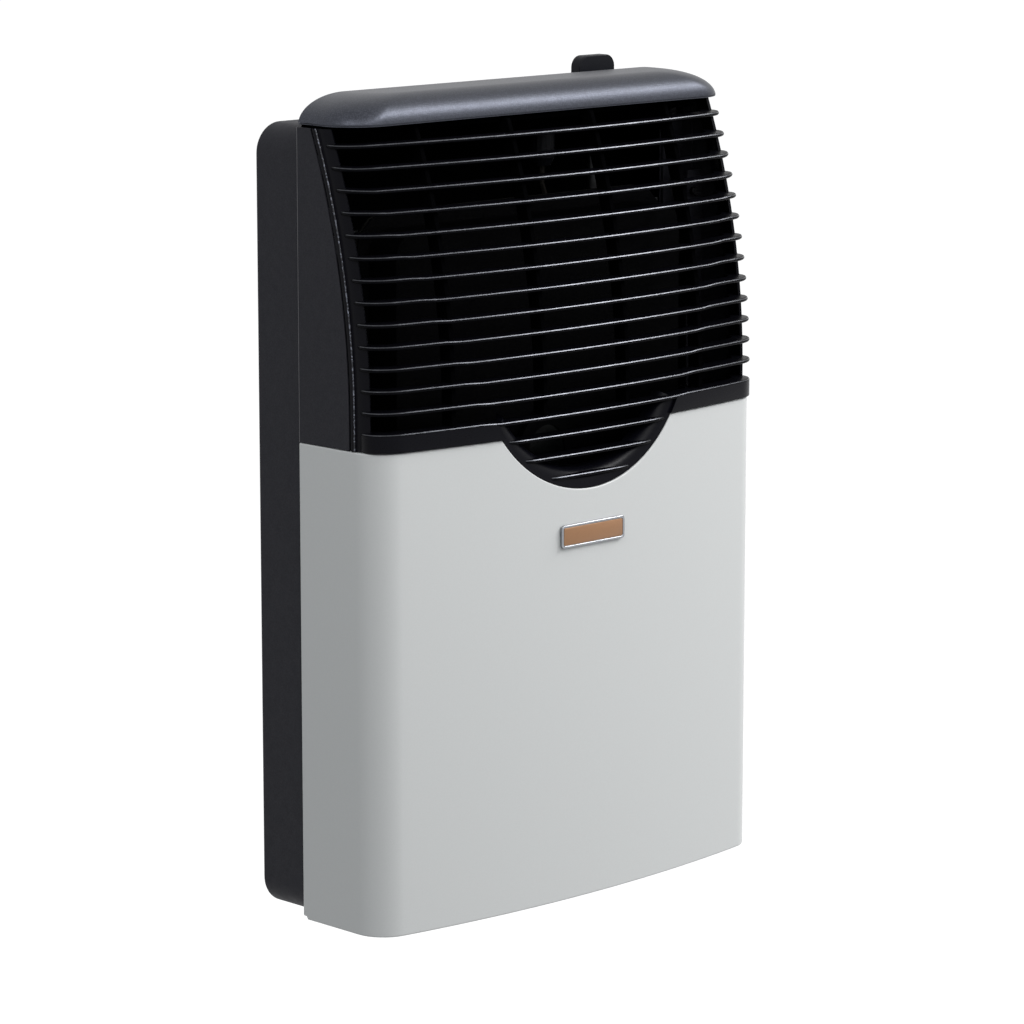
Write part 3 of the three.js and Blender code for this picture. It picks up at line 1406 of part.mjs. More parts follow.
place('chamber_rear', chamberRear(), enamelledSteel);
place('chamber_gasket', chamberGasket(), whiteRope);
place('chamber_front', chamberFront(), enamelledSteel);
place('sight_glass', sightGlass(), clearGlass);
place('sight_glass_frame', sightFrame(), enamelledSteel);
place('flue_pipe', fluePipe(), aluminium);
place('intake_drum', intakeDrum(), aluminium);
place('intake_gasket', intakeGasket(), blackRubber);
place('air_duct', airDuct(), aluminisedSteel);
place('burner', burner(), aluminisedSteel);
place('burner_cradle', burnerCradle(), zinc);
place('injector', injector(), brass);
place('pilot_bracket', pilotBracket(), zinc);
place('pilot_burner', pilotBurner(), brass);
place('thermocouple', thermocouple(), copper);
place('spark_electrode', sparkElectrode(), ceramic);
place('ignition_lead', ignitionLead(), whiteRope);

place('valve_bracket', valveBracket(), zinc);
place('gas_valve', gasValve(), aluminium);
place('inlet_fitting', inletFitting(), brass);
place('burner_pipe', burnerPipe(), copper);
place('pilot_pipe', pilotPipe(), aluminium);
place('valve_stem', valveStem(), brass);
place('press_spring', pressSpring(), zinc);
place('press_collar', pressCollar(), zinc);
place('control_rod', controlRod(), zinc);
place('rod_guide', rodGuide(), zinc);
place('control_knob', controlKnob(), blackPlastic);
place('knob_bezel', knobBezel(), blackPlastic);
place('igniter_body', igniterBody(), blackPlastic);
place('igniter_nut', igniterNut(), zinc);
place('igniter_button', igniterButton(), redPlastic);

group.position.z = -boxHeight / 2;

export default group;
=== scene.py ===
"""Wall mounted gas heater: the looks of the object around its fixed CAD frame.

Lengths are in millimetres unless a name says otherwise. X runs along the wall, Y out of it (the
room is at negative Y) and heights are above the cabinet's base, as in the CAD part; spot() turns
such a point into the frame's metres, whose origin is the middle of the box's wall face.
"""
import json
import math

import bmesh
import bpy
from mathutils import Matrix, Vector


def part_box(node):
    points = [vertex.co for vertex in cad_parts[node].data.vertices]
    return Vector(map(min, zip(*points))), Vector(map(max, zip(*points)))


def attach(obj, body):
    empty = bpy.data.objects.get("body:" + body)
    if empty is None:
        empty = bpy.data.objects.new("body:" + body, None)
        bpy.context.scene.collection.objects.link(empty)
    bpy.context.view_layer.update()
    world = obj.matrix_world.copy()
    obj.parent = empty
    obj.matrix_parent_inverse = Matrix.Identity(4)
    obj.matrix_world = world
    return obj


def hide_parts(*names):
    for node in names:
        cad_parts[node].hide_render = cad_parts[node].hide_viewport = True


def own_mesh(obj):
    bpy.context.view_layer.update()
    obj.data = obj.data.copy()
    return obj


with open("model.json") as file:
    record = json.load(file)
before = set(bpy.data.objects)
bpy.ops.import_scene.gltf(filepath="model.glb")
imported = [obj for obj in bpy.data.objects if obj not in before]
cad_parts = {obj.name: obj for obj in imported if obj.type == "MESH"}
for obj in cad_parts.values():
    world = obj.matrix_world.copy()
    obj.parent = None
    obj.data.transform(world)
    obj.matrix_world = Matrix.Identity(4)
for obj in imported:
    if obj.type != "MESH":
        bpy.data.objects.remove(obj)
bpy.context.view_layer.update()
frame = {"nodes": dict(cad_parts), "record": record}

# ---------------------------------------------------------------- dimensions, as in the CAD part

HALF = 197.5
DEPTH = 147
BOW_RISE = 18
CORNER = 26
PANEL_HEIGHT = 352
SHEET = 1
SCOOP_RADIUS = 108.2
SCOOP_DROP = 44.7
SCOOP_CENTRE = PANEL_HEIGHT - SCOOP_DROP + SCOOP_RADIUS
SEAM = 0.6
NOTCH_DEPTH, NOTCH_HEIGHT = 5, 2.2
PANEL_LIP, SCOOP_LIP, FOOT_LIP = 5, 2, 10  # how far the panel's edges turn in
FLANGE = 22  # width of the rear flanges of the panel and of the sides

BOX_WIDTH, BOX_HEIGHT, BOX_DEPTH, BOX_CORNER, BOX_FLANGE = 388, 577, 47, 22, 20
BOX_FOLD, PANEL_FOLD, SIDE_FOLD = 1.5, 1.6, 1.4  # radii of the folds
FLUE_HOLE, INLET_HOLE, IGNITER_HOLE = 50.3, 12.6, 8.3  # radii of the box's holes
FIX_X, FIX_FOOT, FIX_HOLE = 150, 27, 3.5
KEYHOLE_HEIGHT, KEYHOLE_RADIUS, KEYSLOT_RADIUS, KEYSLOT_RISE = 515, 6, 3, 11
PANEL_REAR = BOX_DEPTH + SEAM

LEAN_START, LEAN_RADIUS = 372, 565
SIDE_DEPTH = 101.32
RIM_WIDTH, RIM_GAP = 5.2, 1.9
INSET, WALL, WRAP = 2, 2, 28
PROUD, FIN_DEPTH, FIN_THICKNESS, FIN_PITCH, FIN_COUNT = 2, 14, 3, 15.53, 13
SCOOP_FINS = 3
LIP_HEIGHT = PANEL_HEIGHT + 12.7
FADE_START, FADE_END = 7, 42
FIN_DIP, DIP_HALF, DIP_SPREAD, DIP_EASE = 0.8, 98, 0.52, 14
RIB_THICKNESS, RIB_SPACING, RIB_SETBACK, RIB_DEPTH = 4, 85, 6, 11
RIM_SCOOP, RIM_DISH = 15, 12

COVER_BASE, COVER_HEIGHT, COVER_FRONT, COVER_HALF = 579.2, 20.8, 103, 195
COVER_NOSE, COVER_END, COVER_CORNER, COVER_WALL = 24, 44, 31, 1.5
SIDE_TOP = 577.6

PLATE_WIDTH, PLATE_HEIGHT, PLATE_DEPTH, PLATE_RIM = 65, 17, 2.2, 1.8
PLATE_CORNER, PLATE_CENTRE, PLATE_SEAT = 2.5, 274.5, 0.3

KNOB_X, CONTROL_DEPTH = 124, 24
KNOB_TOP, KNOB_WIDTH, KNOB_THICKNESS, KNOB_PADDLE = 609.5, 38, 9.5, 15
KNOB_CORNER, KNOB_HUB = 9, 14
HUB_BASE = 586.5
BEZEL_BASE, BEZEL_RADIUS, BEZEL_HEIGHT = 577.3, 18, 2
IGNITER_X = 70
BUTTON_BASE, BUTTON_HEAD, BUTTON_RADIUS, STALK_RADIUS, STALK_DROP = 584, 6, 7.4, 6, 15
ROD_HOLE = 4.6  # radius, through the knob's hub, its bezel and the box's top

BOW_RADIUS = (HALF**2 + BOW_RISE**2) / (2 * BOW_RISE)
CORNER_X = HALF - CORNER
CORNER_Y = BOW_RADIUS - DEPTH - math.sqrt((BOW_RADIUS - CORNER) ** 2 - CORNER_X**2)
BOW_ANGLE = math.asin(CORNER_X / (BOW_RADIUS - CORNER))
CORNER_END = math.pi / 2 - BOW_ANGLE


def spot(x, y, z):
    """A point of the part in the frame, in metres."""
    return Vector((x / 1000, y / 1000, (z - BOX_HEIGHT / 2) / 1000))


def lean(height):
    """How far the upper front has leaned back at a height."""
    rise = max(0.0, height - LEAN_START)
    return LEAN_RADIUS - math.sqrt(LEAN_RADIUS**2 - rise**2)


def between(low, high, steps):
    return [low + (high - low) * i / steps for i in range(steps + 1)]


# ---------------------------------------------------------------- finishes


def finish(name, color, roughness, metallic=0.0, specular=0.5, **look):
    """A node material whose tone, gloss and surface vary at the scale that the real finish shows.

    grain: share of tone variation, at grain_size mm. bump: relief in mm, at bump_size mm.
    spread: variation of roughness. fleck: how much brighter the sparkles are, and fleck_size their
    size in mm. coat: clear coat weight.
    """
    material = bpy.data.materials.new(name)
    material.use_nodes = True
    nodes, links = material.node_tree.nodes, material.node_tree.links
    shader = nodes["Principled BSDF"]
    shader.inputs["Metallic"].default_value = metallic
    shader.inputs["Specular IOR Level"].default_value = specular
    shader.inputs["Coat Weight"].default_value = look.get("coat", 0.0)
    shader.inputs["Coat Roughness"].default_value = 0.12
    place = nodes.new("ShaderNodeTexCoord")

    def noise(size, detail=4.0):
        node = nodes.new("ShaderNodeTexNoise")
        node.inputs["Scale"].default_value = 1000 / size
        node.inputs["Detail"].default_value = detail
        links.new(place.outputs["Object"], node.inputs["Vector"])
        return node.outputs["Fac"]

    def spread(value, low, high):
        node = nodes.new("ShaderNodeMapRange")
        node.inputs["From Min"].default_value = 0.3
        node.inputs["From Max"].default_value = 0.7
        node.inputs["To Min"].default_value = low
        node.inputs["To Max"].default_value = high
        links.new(value, node.inputs["Value"])
        return node.outputs["Result"]

    def mixed(factor, first, second):
        node = nodes.new("ShaderNodeMix")
        node.data_type = "RGBA"
        links.new(factor, node.inputs["Factor"])
        for socket, value in (("A", first), ("B", second)):
            target = next(s for s in node.inputs if s.name == socket and s.type == "RGBA")
            if isinstance(value, tuple):
                target.default_value = (*value, 1)
            else:
                links.new(value, target)
        return next(s for s in node.outputs if s.type == "RGBA")

    grain = look.get("grain", 0.08)
    dark = tuple(c * (1 - grain) for c in color)
    light = tuple(min(1.0, c * (1 + grain)) for c in color)
    tone = mixed(spread(noise(look.get("grain_size", 1.2)), 0, 1), dark, light)
    if look.get("fleck"):
        cells = nodes.new("ShaderNodeTexVoronoi")
        cells.inputs["Scale"].default_value = 1000 / look.get("fleck_size", 0.7)
        links.new(place.outputs["Object"], cells.inputs["Vector"])
        part = nodes.new("ShaderNodeSeparateColor")
        links.new(cells.outputs["Color"], part.inputs["Color"])
        rare = nodes.new("ShaderNodeMapRange")
        rare.inputs["From Min"].default_value = look.get("fleck_from", 0.8)
        rare.inputs["From Max"].default_value = 1.0
        links.new(part.outputs["Red"], rare.inputs["Value"])
        bright = tuple(min(1.0, c * look["fleck"]) for c in color)
        tone = mixed(rare.outputs["Result"], tone, bright)
    links.new(tone, shader.inputs["Base Color"])
    wide = look.get("spread", 0.05)
    gloss = spread(noise(look.get("gloss_size", 6.0)), roughness - wide, roughness + wide)
    links.new(gloss, shader.inputs["Roughness"])
    relief = nodes.new("ShaderNodeBump")
    relief.inputs["Strength"].default_value = look.get("strength", 0.35)
    relief.inputs["Distance"].default_value = look.get("bump", 0.05) / 1000
    links.new(noise(look.get("bump_size", 1.6), 2.0), relief.inputs["Height"])
    links.new(relief.outputs["Normal"], shader.inputs["Normal"])
    return material


FINISHES = {
    "pale_enamel": finish("pale_enamel", (0.69, 0.70, 0.695), 0.36, specular=0.35, grain=0.012,
                          bump=0.03, bump_size=3.0, spread=0.04),
    "charcoal_enamel": finish("charcoal_enamel", (0.0225, 0.0225, 0.028), 0.55, specular=0.11,
                              grain=0.2, grain_size=0.9, bump=0.09, bump_size=0.8),
    "satin_cover": finish("satin_cover", (0.044, 0.047, 0.058), 0.41, 0.9, specular=0.2, grain=0.2,
                          grain_size=0.7, fleck=1.5, fleck_size=0.6, fleck_from=0.5,
                          bump=0.05, bump_size=0.8, gloss_size=1.0, spread=0.03),
    "black_satin": finish("black_satin", (0.003, 0.003, 0.0052), 0.3, specular=0.07, grain=0.3,
                          grain_size=0.6, bump=0.05, bump_size=0.8, gloss_size=0.8),
    "black_plastic": finish("black_plastic", (0.0065, 0.007, 0.0095), 0.45, specular=0.1,
                            grain=0.2, bump=0.04),
    "red_plastic": finish("red_plastic", (0.27, 0.012, 0.01), 0.35, grain=0.1),
    "plate_chrome": finish("plate_chrome", (0.30, 0.31, 0.33), 0.16, 1.0, grain=0.05),
    "plate_copper": finish("plate_copper", (0.33, 0.175, 0.09), 0.42, 0.5, grain=0.06,
                           grain_size=0.6, bump=0.03, bump_size=0.5),
    # zinc_steel, screw_steel, aluminised_steel and enamelled_steel are far darker than bare or enamelled
    # steel: painted shade for the parts inside the cabinet.
    "zinc_steel": finish("zinc_steel", (0.04, 0.041, 0.043), 0.5, 0.9, grain=0.2, grain_size=9,
                         spread=0.12),
    "screw_steel": finish("screw_steel", (0.02, 0.02, 0.022), 0.45, 1.0, grain=0.1),
    "aluminised_steel": finish("aluminised_steel", (0.035, 0.036, 0.037), 0.55, 0.8, grain=0.18,
                               grain_size=5, spread=0.1),
    "enamelled_steel": finish("enamelled_steel", (0.003, 0.003, 0.0035), 0.6, specular=0.02,
                              grain=0.3, grain_size=2.5),
    "aluminium": finish("aluminium", (0.16, 0.165, 0.17), 0.45, 0.95, grain=0.1, grain_size=3),
    "brass": finish("brass", (0.48, 0.30, 0.10), 0.32, 1.0, grain=0.12, grain_size=4),
    "copper": finish("copper", (0.48, 0.18, 0.075), 0.32, 1.0, grain=0.15, grain_size=4),
    "ceramic": finish("ceramic", (0.78, 0.75, 0.68), 0.4, grain=0.05),
    # The lead sleeve is darkened to near-black: painted shade inside the cabinet.
    "lead_sleeve": finish("lead_sleeve", (0.02, 0.018, 0.016), 0.7, specular=0.1, grain=0.12,
                          grain_size=0.8),
    "rope_seal": finish("rope_seal", (0.02, 0.019, 0.018), 0.92, specular=0.1, grain=0.25, grain_size=0.9,
                        bump=0.3, bump_size=0.9),
    "black_rubber": finish("black_rubber", (0.014, 0.014, 0.014), 0.8, specular=0.2, grain=0.2),
    "sight_glass": finish("sight_glass", (0.006, 0.007, 0.007), 0.25, specular=0.05, grain=0.05),
}
# Near-black with no gloss: painted shade for the ribs, top bar, top rail and the box's inner faces, which
# lie in shade.
PAINTED_SHADE_INSIDE = finish("black_satin_painted_shade", (0.0015, 0.0015, 0.0018), 0.5, specular=0.0, grain=0.3)
LOUVRE = finish("black_satin_louvre", (0.002, 0.002, 0.0032), 0.35, specular=0.03, grain=0.3)
# Bright metallic strip on the louvres' black: a painted highlight along the flat of each nose.
LOUVRE_PAINTED_HIGHLIGHT = finish("louvre_painted_highlight", (0.05, 0.052, 0.058), 0.28, 1.0, grain=0.25, grain_size=1.2)
# Charcoal made four times lighter: a painted highlight along the folds of the sides and of the box.
FOLD_PAINTED_HIGHLIGHT = finish("charcoal_fold_painted_highlight", (0.085, 0.085, 0.095), 0.4, specular=0.3, grain=0.2, grain_size=2)
# Dark satin with very bright flecks: a painted speckled highlight along the front edge of the frame's
# rim.
RIM_PAINTED_HIGHLIGHT = finish("rim_painted_highlight_speckle", (0.022, 0.023, 0.028), 0.35, specular=0.3, grain=0.6,
                  grain_size=1.6, fleck=13.0, fleck_size=1.3, fleck_from=0.55)

slot_of = {part["node"]: part["material_slot"] for part in frame["record"]["subparts"]}
for node, obj in frame["nodes"].items():
    obj.data.materials.clear()
    # The top rail gets the painted shade material instead of its own finish.
    obj.data.materials.append(PAINTED_SHADE_INSIDE if node == "top_rail" else FINISHES[slot_of[node]])

# ---------------------------------------------------------------- mesh helpers


def loft(rings, closed=True):
    """Points and faces of a skin through rings of equal count, capped at both ends if closed."""
    count = len(rings[0])
    points = [point for ring in rings for point in ring]
    faces = []
    for level in range(len(rings) - 1):
        for i in range(count):
            a, b = level * count + i, level * count + (i + 1) % count
            faces.append((a, b, b + count, a + count))
    if closed:
        last = (len(rings) - 1) * count
        faces.append(tuple(reversed(range(count))))
        faces.append(tuple(range(last, last + count)))
    return points, faces


def joined(parts):
    """Several (points, faces) as one."""
    points, faces = [], []
    for more, skin in parts:
        start = len(points)
        points += more
        faces += [tuple(start + i for i in face) for face in skin]
    return points, faces


def mesh_of(name, points, faces, sharp=38):
    mesh = bpy.data.meshes.new(name)
    mesh.from_pydata([spot(*p) for p in points], [], faces)
    work = bmesh.new()
    work.from_mesh(mesh)
    bmesh.ops.remove_doubles(work, verts=work.verts, dist=1e-6)
    bmesh.ops.recalc_face_normals(work, faces=work.faces)
    work.to_mesh(mesh)
    work.free()
    mesh.shade_smooth()
    mesh.set_sharp_from_angle(angle=math.radians(sharp))
    obj = bpy.data.objects.new(name, mesh)
    bpy.context.scene.collection.objects.link(obj)
    return obj


def soften(obj, width, segments=2, angle=40):
    """Rounds the piece's edges, width in mm."""
    bevel = obj.modifiers.new("edges", "BEVEL")
    bevel.width = width / 1000
    bevel.segments = segments
    bevel.limit_method = "ANGLE"
    bevel.angle_limit = math.radians(angle)
    bevel.harden_normals = True


def carve(obj, cutters):
    """Cuts the closed (points, faces) out of a piece and keeps the result as its mesh."""
    tool = mesh_of("cutter", *joined(cutters))
    carving = obj.modifiers.new("carve", "BOOLEAN")
    carving.operation = "DIFFERENCE"
    carving.solver = "EXACT"
    carving.object = tool
    bpy.context.view_layer.update()
    result = bpy.data.meshes.new_from_object(obj.evaluated_get(bpy.context.evaluated_depsgraph_get()))
    obj.modifiers.clear()
    obj.data = result
    bpy.data.objects.remove(tool)
    result.shade_smooth()
    result.set_sharp_from_angle(angle=math.radians(38))


def mark(obj, painted_light, chosen):
    """Gives the faces whose middle, in part millimetres, is chosen one more material; here it paints
    highlights and shade.
    """
    obj.data.materials.append(painted_light)
    index = len(obj.data.materials) - 1
    for face in obj.data.polygons:
        x, y, z = (1000 * c for c in face.center)
        if chosen(x, y, z + BOX_HEIGHT / 2):
            face.material_index = index


def dress(obj, slot, *nodes, body="casing", look=None):
    """Gives a piece its finish, hides the CAD nodes that it stands for and puts it on the body that it
    rides on.
    """
    obj.data.materials.clear()
    obj.data.materials.append(look or FINISHES[slot])
    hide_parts(*nodes)
    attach(obj, body)
    return obj


def arc(cx, cy, radius, start, end, steps):
    """Points of an arc, its angles in degrees."""
    angles = (math.radians(a) for a in between(start, end, steps))
    return [(cx + radius * math.cos(a), cy + radius * math.sin(a)) for a in angles]


def rounded(x0, x1, y0, y1, radius, steps):
    return [
        *arc(x1 - radius, y1 - radius, radius, 0, 90, steps),
        *arc(x0 + radius, y1 - radius, radius, 90, 180, steps),
        *arc(x0 + radius, y0 + radius, radius, 180, 270, steps),
        *arc(x1 - radius, y0 + radius, radius, 270, 360, steps),
    ]


def lathe(profile, cx, cy, sides=64):
    """A round body about an upright axis from a profile of (radius, height)."""
    rings = [[(cx + r * math.cos(2 * math.pi * i / sides), cy + r * math.sin(2 * math.pi * i / sides), z)
              for i in range(sides)] for r, z in profile]
    return loft(rings)


# ---------------------------------------------------------------- front curve of the cabinet


class Station:
    """A point on the cabinet's front seen from above, with the way out of the cabinet there."""

    def __init__(self, x, y, out_x, out_y, turn=None):
        self.x, self.y, self.out = x, y, (out_x, out_y)
        self.turn = turn  # degrees round the corner, or None on the bow

    def off(self, grow):
        return self.x + self.out[0] * grow, self.y + self.out[1] * grow


def corner_station(side, degrees):
    a = math.radians(degrees)
    out = (side * math.cos(a), -math.sin(a))
    return Station(side * CORNER_X + out[0] * CORNER, CORNER_Y + out[1] * CORNER, *out, degrees)


def bow_station(x):
    a = math.asin(x / BOW_RADIUS)
    out = (math.sin(a), -math.cos(a))
    return Station(x, BOW_RADIUS - DEPTH - BOW_RADIUS * math.cos(a), *out)


def front_stations(start=0.0, corner_steps=14, bow_steps=72, extra=()):
    """From the left side, round the left corner, along the bow and round the right corner."""
    end = math.degrees(CORNER_END)
    left = [corner_station(-1, a) for a in between(start, end, corner_steps)]
    right = [corner_station(1, a) for a in reversed(between(start, end, corner_steps))]
    edge = BOW_RADIUS * math.sin(BOW_ANGLE)
    places = sorted({*between(-edge, edge, bow_steps)[1:-1], *extra})
    return [*left, *(bow_station(x) for x in places), *right]


# ---------------------------------------------------------------- pale lower panel

EDGE = 0.9  # rounding of the panel's edges
SCOOP_HALF = math.sqrt(SCOOP_RADIUS**2 - (SCOOP_CENTRE - PANEL_HEIGHT) ** 2)


def panel_stations():
    """The panel's outline: rear flange, side, front and the same again on the right."""
    fold = PANEL_FOLD
    flange = [Station(-HALF + wide, -PANEL_REAR, 0, 1) for wide in (FLANGE, FLANGE - 10)]
    turn = [Station(x, y, (x + HALF - fold) / fold, (y + PANEL_REAR + fold) / fold)
            for x, y in arc(-HALF + fold, -PANEL_REAR - fold, fold, 90, 180, 5)]
    notch = -PANEL_REAR - NOTCH_DEPTH
    side = [Station(-HALF, y, -1, 0)
            for y in (notch + 1.2, notch - 0.3, *between(notch - 6, CORNER_Y + 4, 4))]
    left = [*flange, *turn, *side]
    right = [Station(-s.x, s.y, -s.out[0], s.out[1]) for s in reversed(left)]
    ends = (-SCOOP_HALF, SCOOP_HALF, -SCOOP_HALF + 0.6, SCOOP_HALF - 0.6)
    return [*left, *front_stations(0.5, 14, 90, ends), *right]


def panel_ring(station):
    behind = station.y > -PANEL_REAR - NOTCH_DEPTH
    low = NOTCH_HEIGHT if behind else 0.0
    inside = abs(station.x) < SCOOP_HALF - 0.01 and station.y < -SIDE_DEPTH
    high, lip = PANEL_HEIGHT, PANEL_LIP
    if inside:
        high = SCOOP_CENTRE - math.sqrt(SCOOP_RADIUS**2 - station.x**2)
        lip = SCOOP_LIP
    diagonal = EDGE * (1 - math.sqrt(0.5))
    profile = [
        (-EDGE, low), (-diagonal, low + diagonal), (0, low + EDGE),
        *[(0, z) for z in between(low + EDGE + 0.5, high - EDGE - 0.5, 6)],
        (0, high - EDGE), (-diagonal, high - diagonal), (-EDGE, high),
        (-lip, high), (-lip, high - SHEET), (-SHEET, high - SHEET), (-SHEET, low + SHEET),
        (-FOOT_LIP, low + SHEET), (-FOOT_LIP, low),
    ]
    return [(*station.off(grow), z) for grow, z in profile]


panel = mesh_of("pale_panel", *loft([panel_ring(s) for s in panel_stations()]), sharp=50)
dress(panel, "pale_enamel", "front_panel")

# ---------------------------------------------------------------- charcoal side panels


def side_ring(side, z):
    front = lean(z) - SIDE_DEPTH
    corner = arc(HALF - SIDE_FOLD, -PANEL_REAR - SIDE_FOLD, SIDE_FOLD, 0, 90, 5)
    hold = -PANEL_REAR - SIDE_FOLD - 0.5
    outer = [(HALF, front), (HALF, (front + hold) / 2), (HALF, hold), *corner,
             (HALF - FLANGE, -PANEL_REAR)]
    inner = [(HALF - FLANGE, -PANEL_REAR - SHEET), (HALF - SHEET, -PANEL_REAR - SHEET),
             (HALF - SHEET, front)]
    return [(side * x, y, z) for x, y in (*outer, *inner)]


for side, word in ((-1, "left"), (1, "right")):
    levels = between(PANEL_HEIGHT + SEAM, SIDE_TOP, 36)
    cheek = mesh_of(f"cheek_{word}", *loft([side_ring(side, z) for z in levels]), sharp=32)
    dress(cheek, "charcoal_enamel", f"side_panel_{word}")
    # Painted highlight on the side's rear fold.
    mark(cheek, FOLD_PAINTED_HIGHLIGHT, lambda x, y, z: HALF - 0.9 < abs(x) < HALF - 0.02 and y > -PANEL_REAR - 1.6)

# ---------------------------------------------------------------- grille

FIN_BACK = PROUD - FIN_DEPTH
FIN_ROOT = CORNER - INSET - WALL / 4
FLAT_START, FLAT_END = 22, 50  # degrees round the nose


def fin_reach(station):
    """How far a fin's front edge stands from the cabinet's face: it leaves the frame smoothly."""
    if station.turn is None or station.turn >= FADE_END:
        return PROUD
    share = (station.turn - FADE_START) / (FADE_END - FADE_START)
    reach = FIN_ROOT + (CORNER + PROUD - FIN_ROOT) * math.sin(share * math.pi / 2)
    return reach - CORNER


def fin_dip(x, height):
    """The louvres sit a little lower between two lines that rise outwards from the scoop."""
    beyond = abs(x) - DIP_HALF - DIP_SPREAD * (height - LIP_HEIGHT)
    return FIN_DIP * min(1.0, max(0.0, 0.5 - beyond / DIP_EASE))


def fin_section(back, reach, height):
    """Section of a fin: rounded nose with a narrow flat that looks a little up."""
    half, ease = FIN_THICKNESS / 2, 0.3
    angles = [*between(-90, FLAT_START, 12), *between(FLAT_END, 90, 5)]
    nose = [(reach - half + half * math.cos(a), height + half * math.sin(a))
            for a in (math.radians(d) for d in angles)]
    return [(back, height - half + ease), (back + ease, height - half), *nose,
            (back + ease, height + half), (back, height + half - ease)]


def on_flat(x, y, z):
    """Whether a point lies on the flat of a fin's nose, where a highlight is painted."""
    above = (z + fin_dip(x, z) - LIP_HEIGHT + FIN_PITCH / 2) % FIN_PITCH - FIN_PITCH / 2
    middle = (math.sin(math.radians(FLAT_START)) + math.sin(math.radians(FLAT_END))) / 2
    return abs(above - FIN_THICKNESS / 2 * middle) < 0.18


def fin_ring(station, level):
    height = level - fin_dip(station.x, level)
    section = fin_section(FIN_BACK, fin_reach(station), height)
    shift = lean(height)
    return [(x, y + shift, z) for (x, y), z in ((station.off(g), z) for g, z in section)]


fin_stations = front_stations(FADE_START, 10, 72)
fins = [loft([fin_ring(s, LIP_HEIGHT + i * FIN_PITCH) for s in fin_stations])
        for i in range(FIN_COUNT + 1)]
louvres = mesh_of("louvres", *joined(fins), sharp=14)
dress(louvres, "black_satin", "grille", look=LOUVRE)
# Painted highlight on the flat of each louvre's nose.
mark(louvres, LOUVRE_PAINTED_HIGHLIGHT, on_flat)


def frame_ring(side, z):
    """Section of the frame's side: flush rim, a step, then the inset corner."""
    start = SIDE_DEPTH + RIM_GAP
    end = SIDE_DEPTH + SEAM + RIM_WIDTH
    outer, inner = CORNER - INSET, CORNER - INSET - WALL
    rim = [(HALF, -start), (HALF, -end + 0.7), (HALF - 0.2, -end + 0.2), (HALF - 0.6, -end),
           (HALF - INSET + 0.2, -end)]
    face = [(CORNER_X + outer * math.cos(a), CORNER_Y - outer * math.sin(a))
            for a in (math.radians(d) for d in between(1.0, WRAP, 10))]
    back = [(CORNER_X + inner * math.cos(a), CORNER_Y - inner * math.sin(a))
            for a in (math.radians(d) for d in reversed(between(1.0, WRAP, 10)))]
    section = [*rim, *face, *back, (CORNER_X + inner, -start)]
    shift = lean(z)
    return [(side * x, y + shift, z) for x, y in section]


frame_levels = between(PANEL_HEIGHT + SEAM, SIDE_TOP, 40)
cheeks = [loft([frame_ring(side, z) for z in frame_levels]) for side in (-1, 1)]
grille_frame = mesh_of("grille_frame", *joined(cheeks), sharp=35)
dress(grille_frame, "black_satin", "grille")
rim_front = SIDE_DEPTH + SEAM + RIM_WIDTH
# Painted speckled highlight on the rim's front edge.
mark(grille_frame, RIM_PAINTED_HIGHLIGHT, lambda x, y, z: abs(x) > HALF - 0.55 and y - lean(z) < 0.6 - rim_front)

BAND_RADIUS = SCOOP_RADIUS - SEAM - WALL


def band_top(x):
    """Top of the band under the lip, which ends on the scoop's circle."""
    if abs(x) >= BAND_RADIUS:
        return LIP_HEIGHT
    circle = SCOOP_CENTRE - math.sqrt(BAND_RADIUS**2 - x * x)
    return min(LIP_HEIGHT, circle)


def band_ring(station):
    low = PANEL_HEIGHT + SEAM
    high = max(low + 0.2, band_top(station.x))
    reach = fin_reach(station)
    shape = [(reach - 0.8, low), (reach - 0.2, low + 0.15), (reach, low + 0.7), (reach, high),
             (-INSET - WALL, high), (-INSET - WALL, low)]
    if high < low + 1:
        shape = [(reach - 0.8, low), (reach - 0.4, low + 0.03), (reach - 0.2, low + 0.06),
                 (reach - 0.2, high), (-INSET - WALL, high), (-INSET - WALL, low)]
    return [(*station.off(grow), z) for grow, z in shape]


band_end = math.sqrt(BAND_RADIUS**2 - (SCOOP_CENTRE - PANEL_HEIGHT - SEAM) ** 2)
tapers = [band_end + 0.05 + t for t in (0, 1, 2, 3, 4, 5, 6, 7)]
bands = []
for side in (-1, 1):
    row = front_stations(FADE_START, 10, 72, [side * t for t in tapers])
    row = [s for s in row if s.x * side >= band_end]
    bands.append(loft([band_ring(s) for s in row]))
band = mesh_of("lip_band", *joined(bands), sharp=45)
dress(band, "black_satin", "grille")


def dish_ring(degrees):
    """Section of the dished rim that follows the scoop."""
    outer, start = SCOOP_RADIUS - SEAM, WALL / 4
    dish = [(outer - 0.15, start - 0.1), *[
        (outer - 0.4 - (RIM_SCOOP - 0.4) * math.sin(a), start + RIM_DISH * (1 - math.cos(a)))
        for a in (math.radians(d) for d in between(0, 90, 10))]]
    deep = start + RIM_DISH
    dish += [(outer - RIM_SCOOP - 0.4, deep + WALL / 2), (outer - RIM_SCOOP, deep + WALL),
             (outer - WALL, start + 2 * WALL), (outer, start + 2 * WALL), (outer, start + 0.2)]
    a = math.radians(degrees)
    ring = []
    for radius, behind in dish:
        x = radius * math.sin(a)
        ring.append((x, bow_station(x).y + behind, SCOOP_CENTRE - radius * math.cos(a)))
    return ring


dish_reach = math.degrees(math.acos((SCOOP_CENTRE - LIP_HEIGHT + FIN_THICKNESS) / (SCOOP_RADIUS - SEAM)))
dish = mesh_of("scoop_rim", *loft([dish_ring(a) for a in between(-dish_reach, dish_reach, 72)]), sharp=40)
dress(dish, "black_satin", "grille")


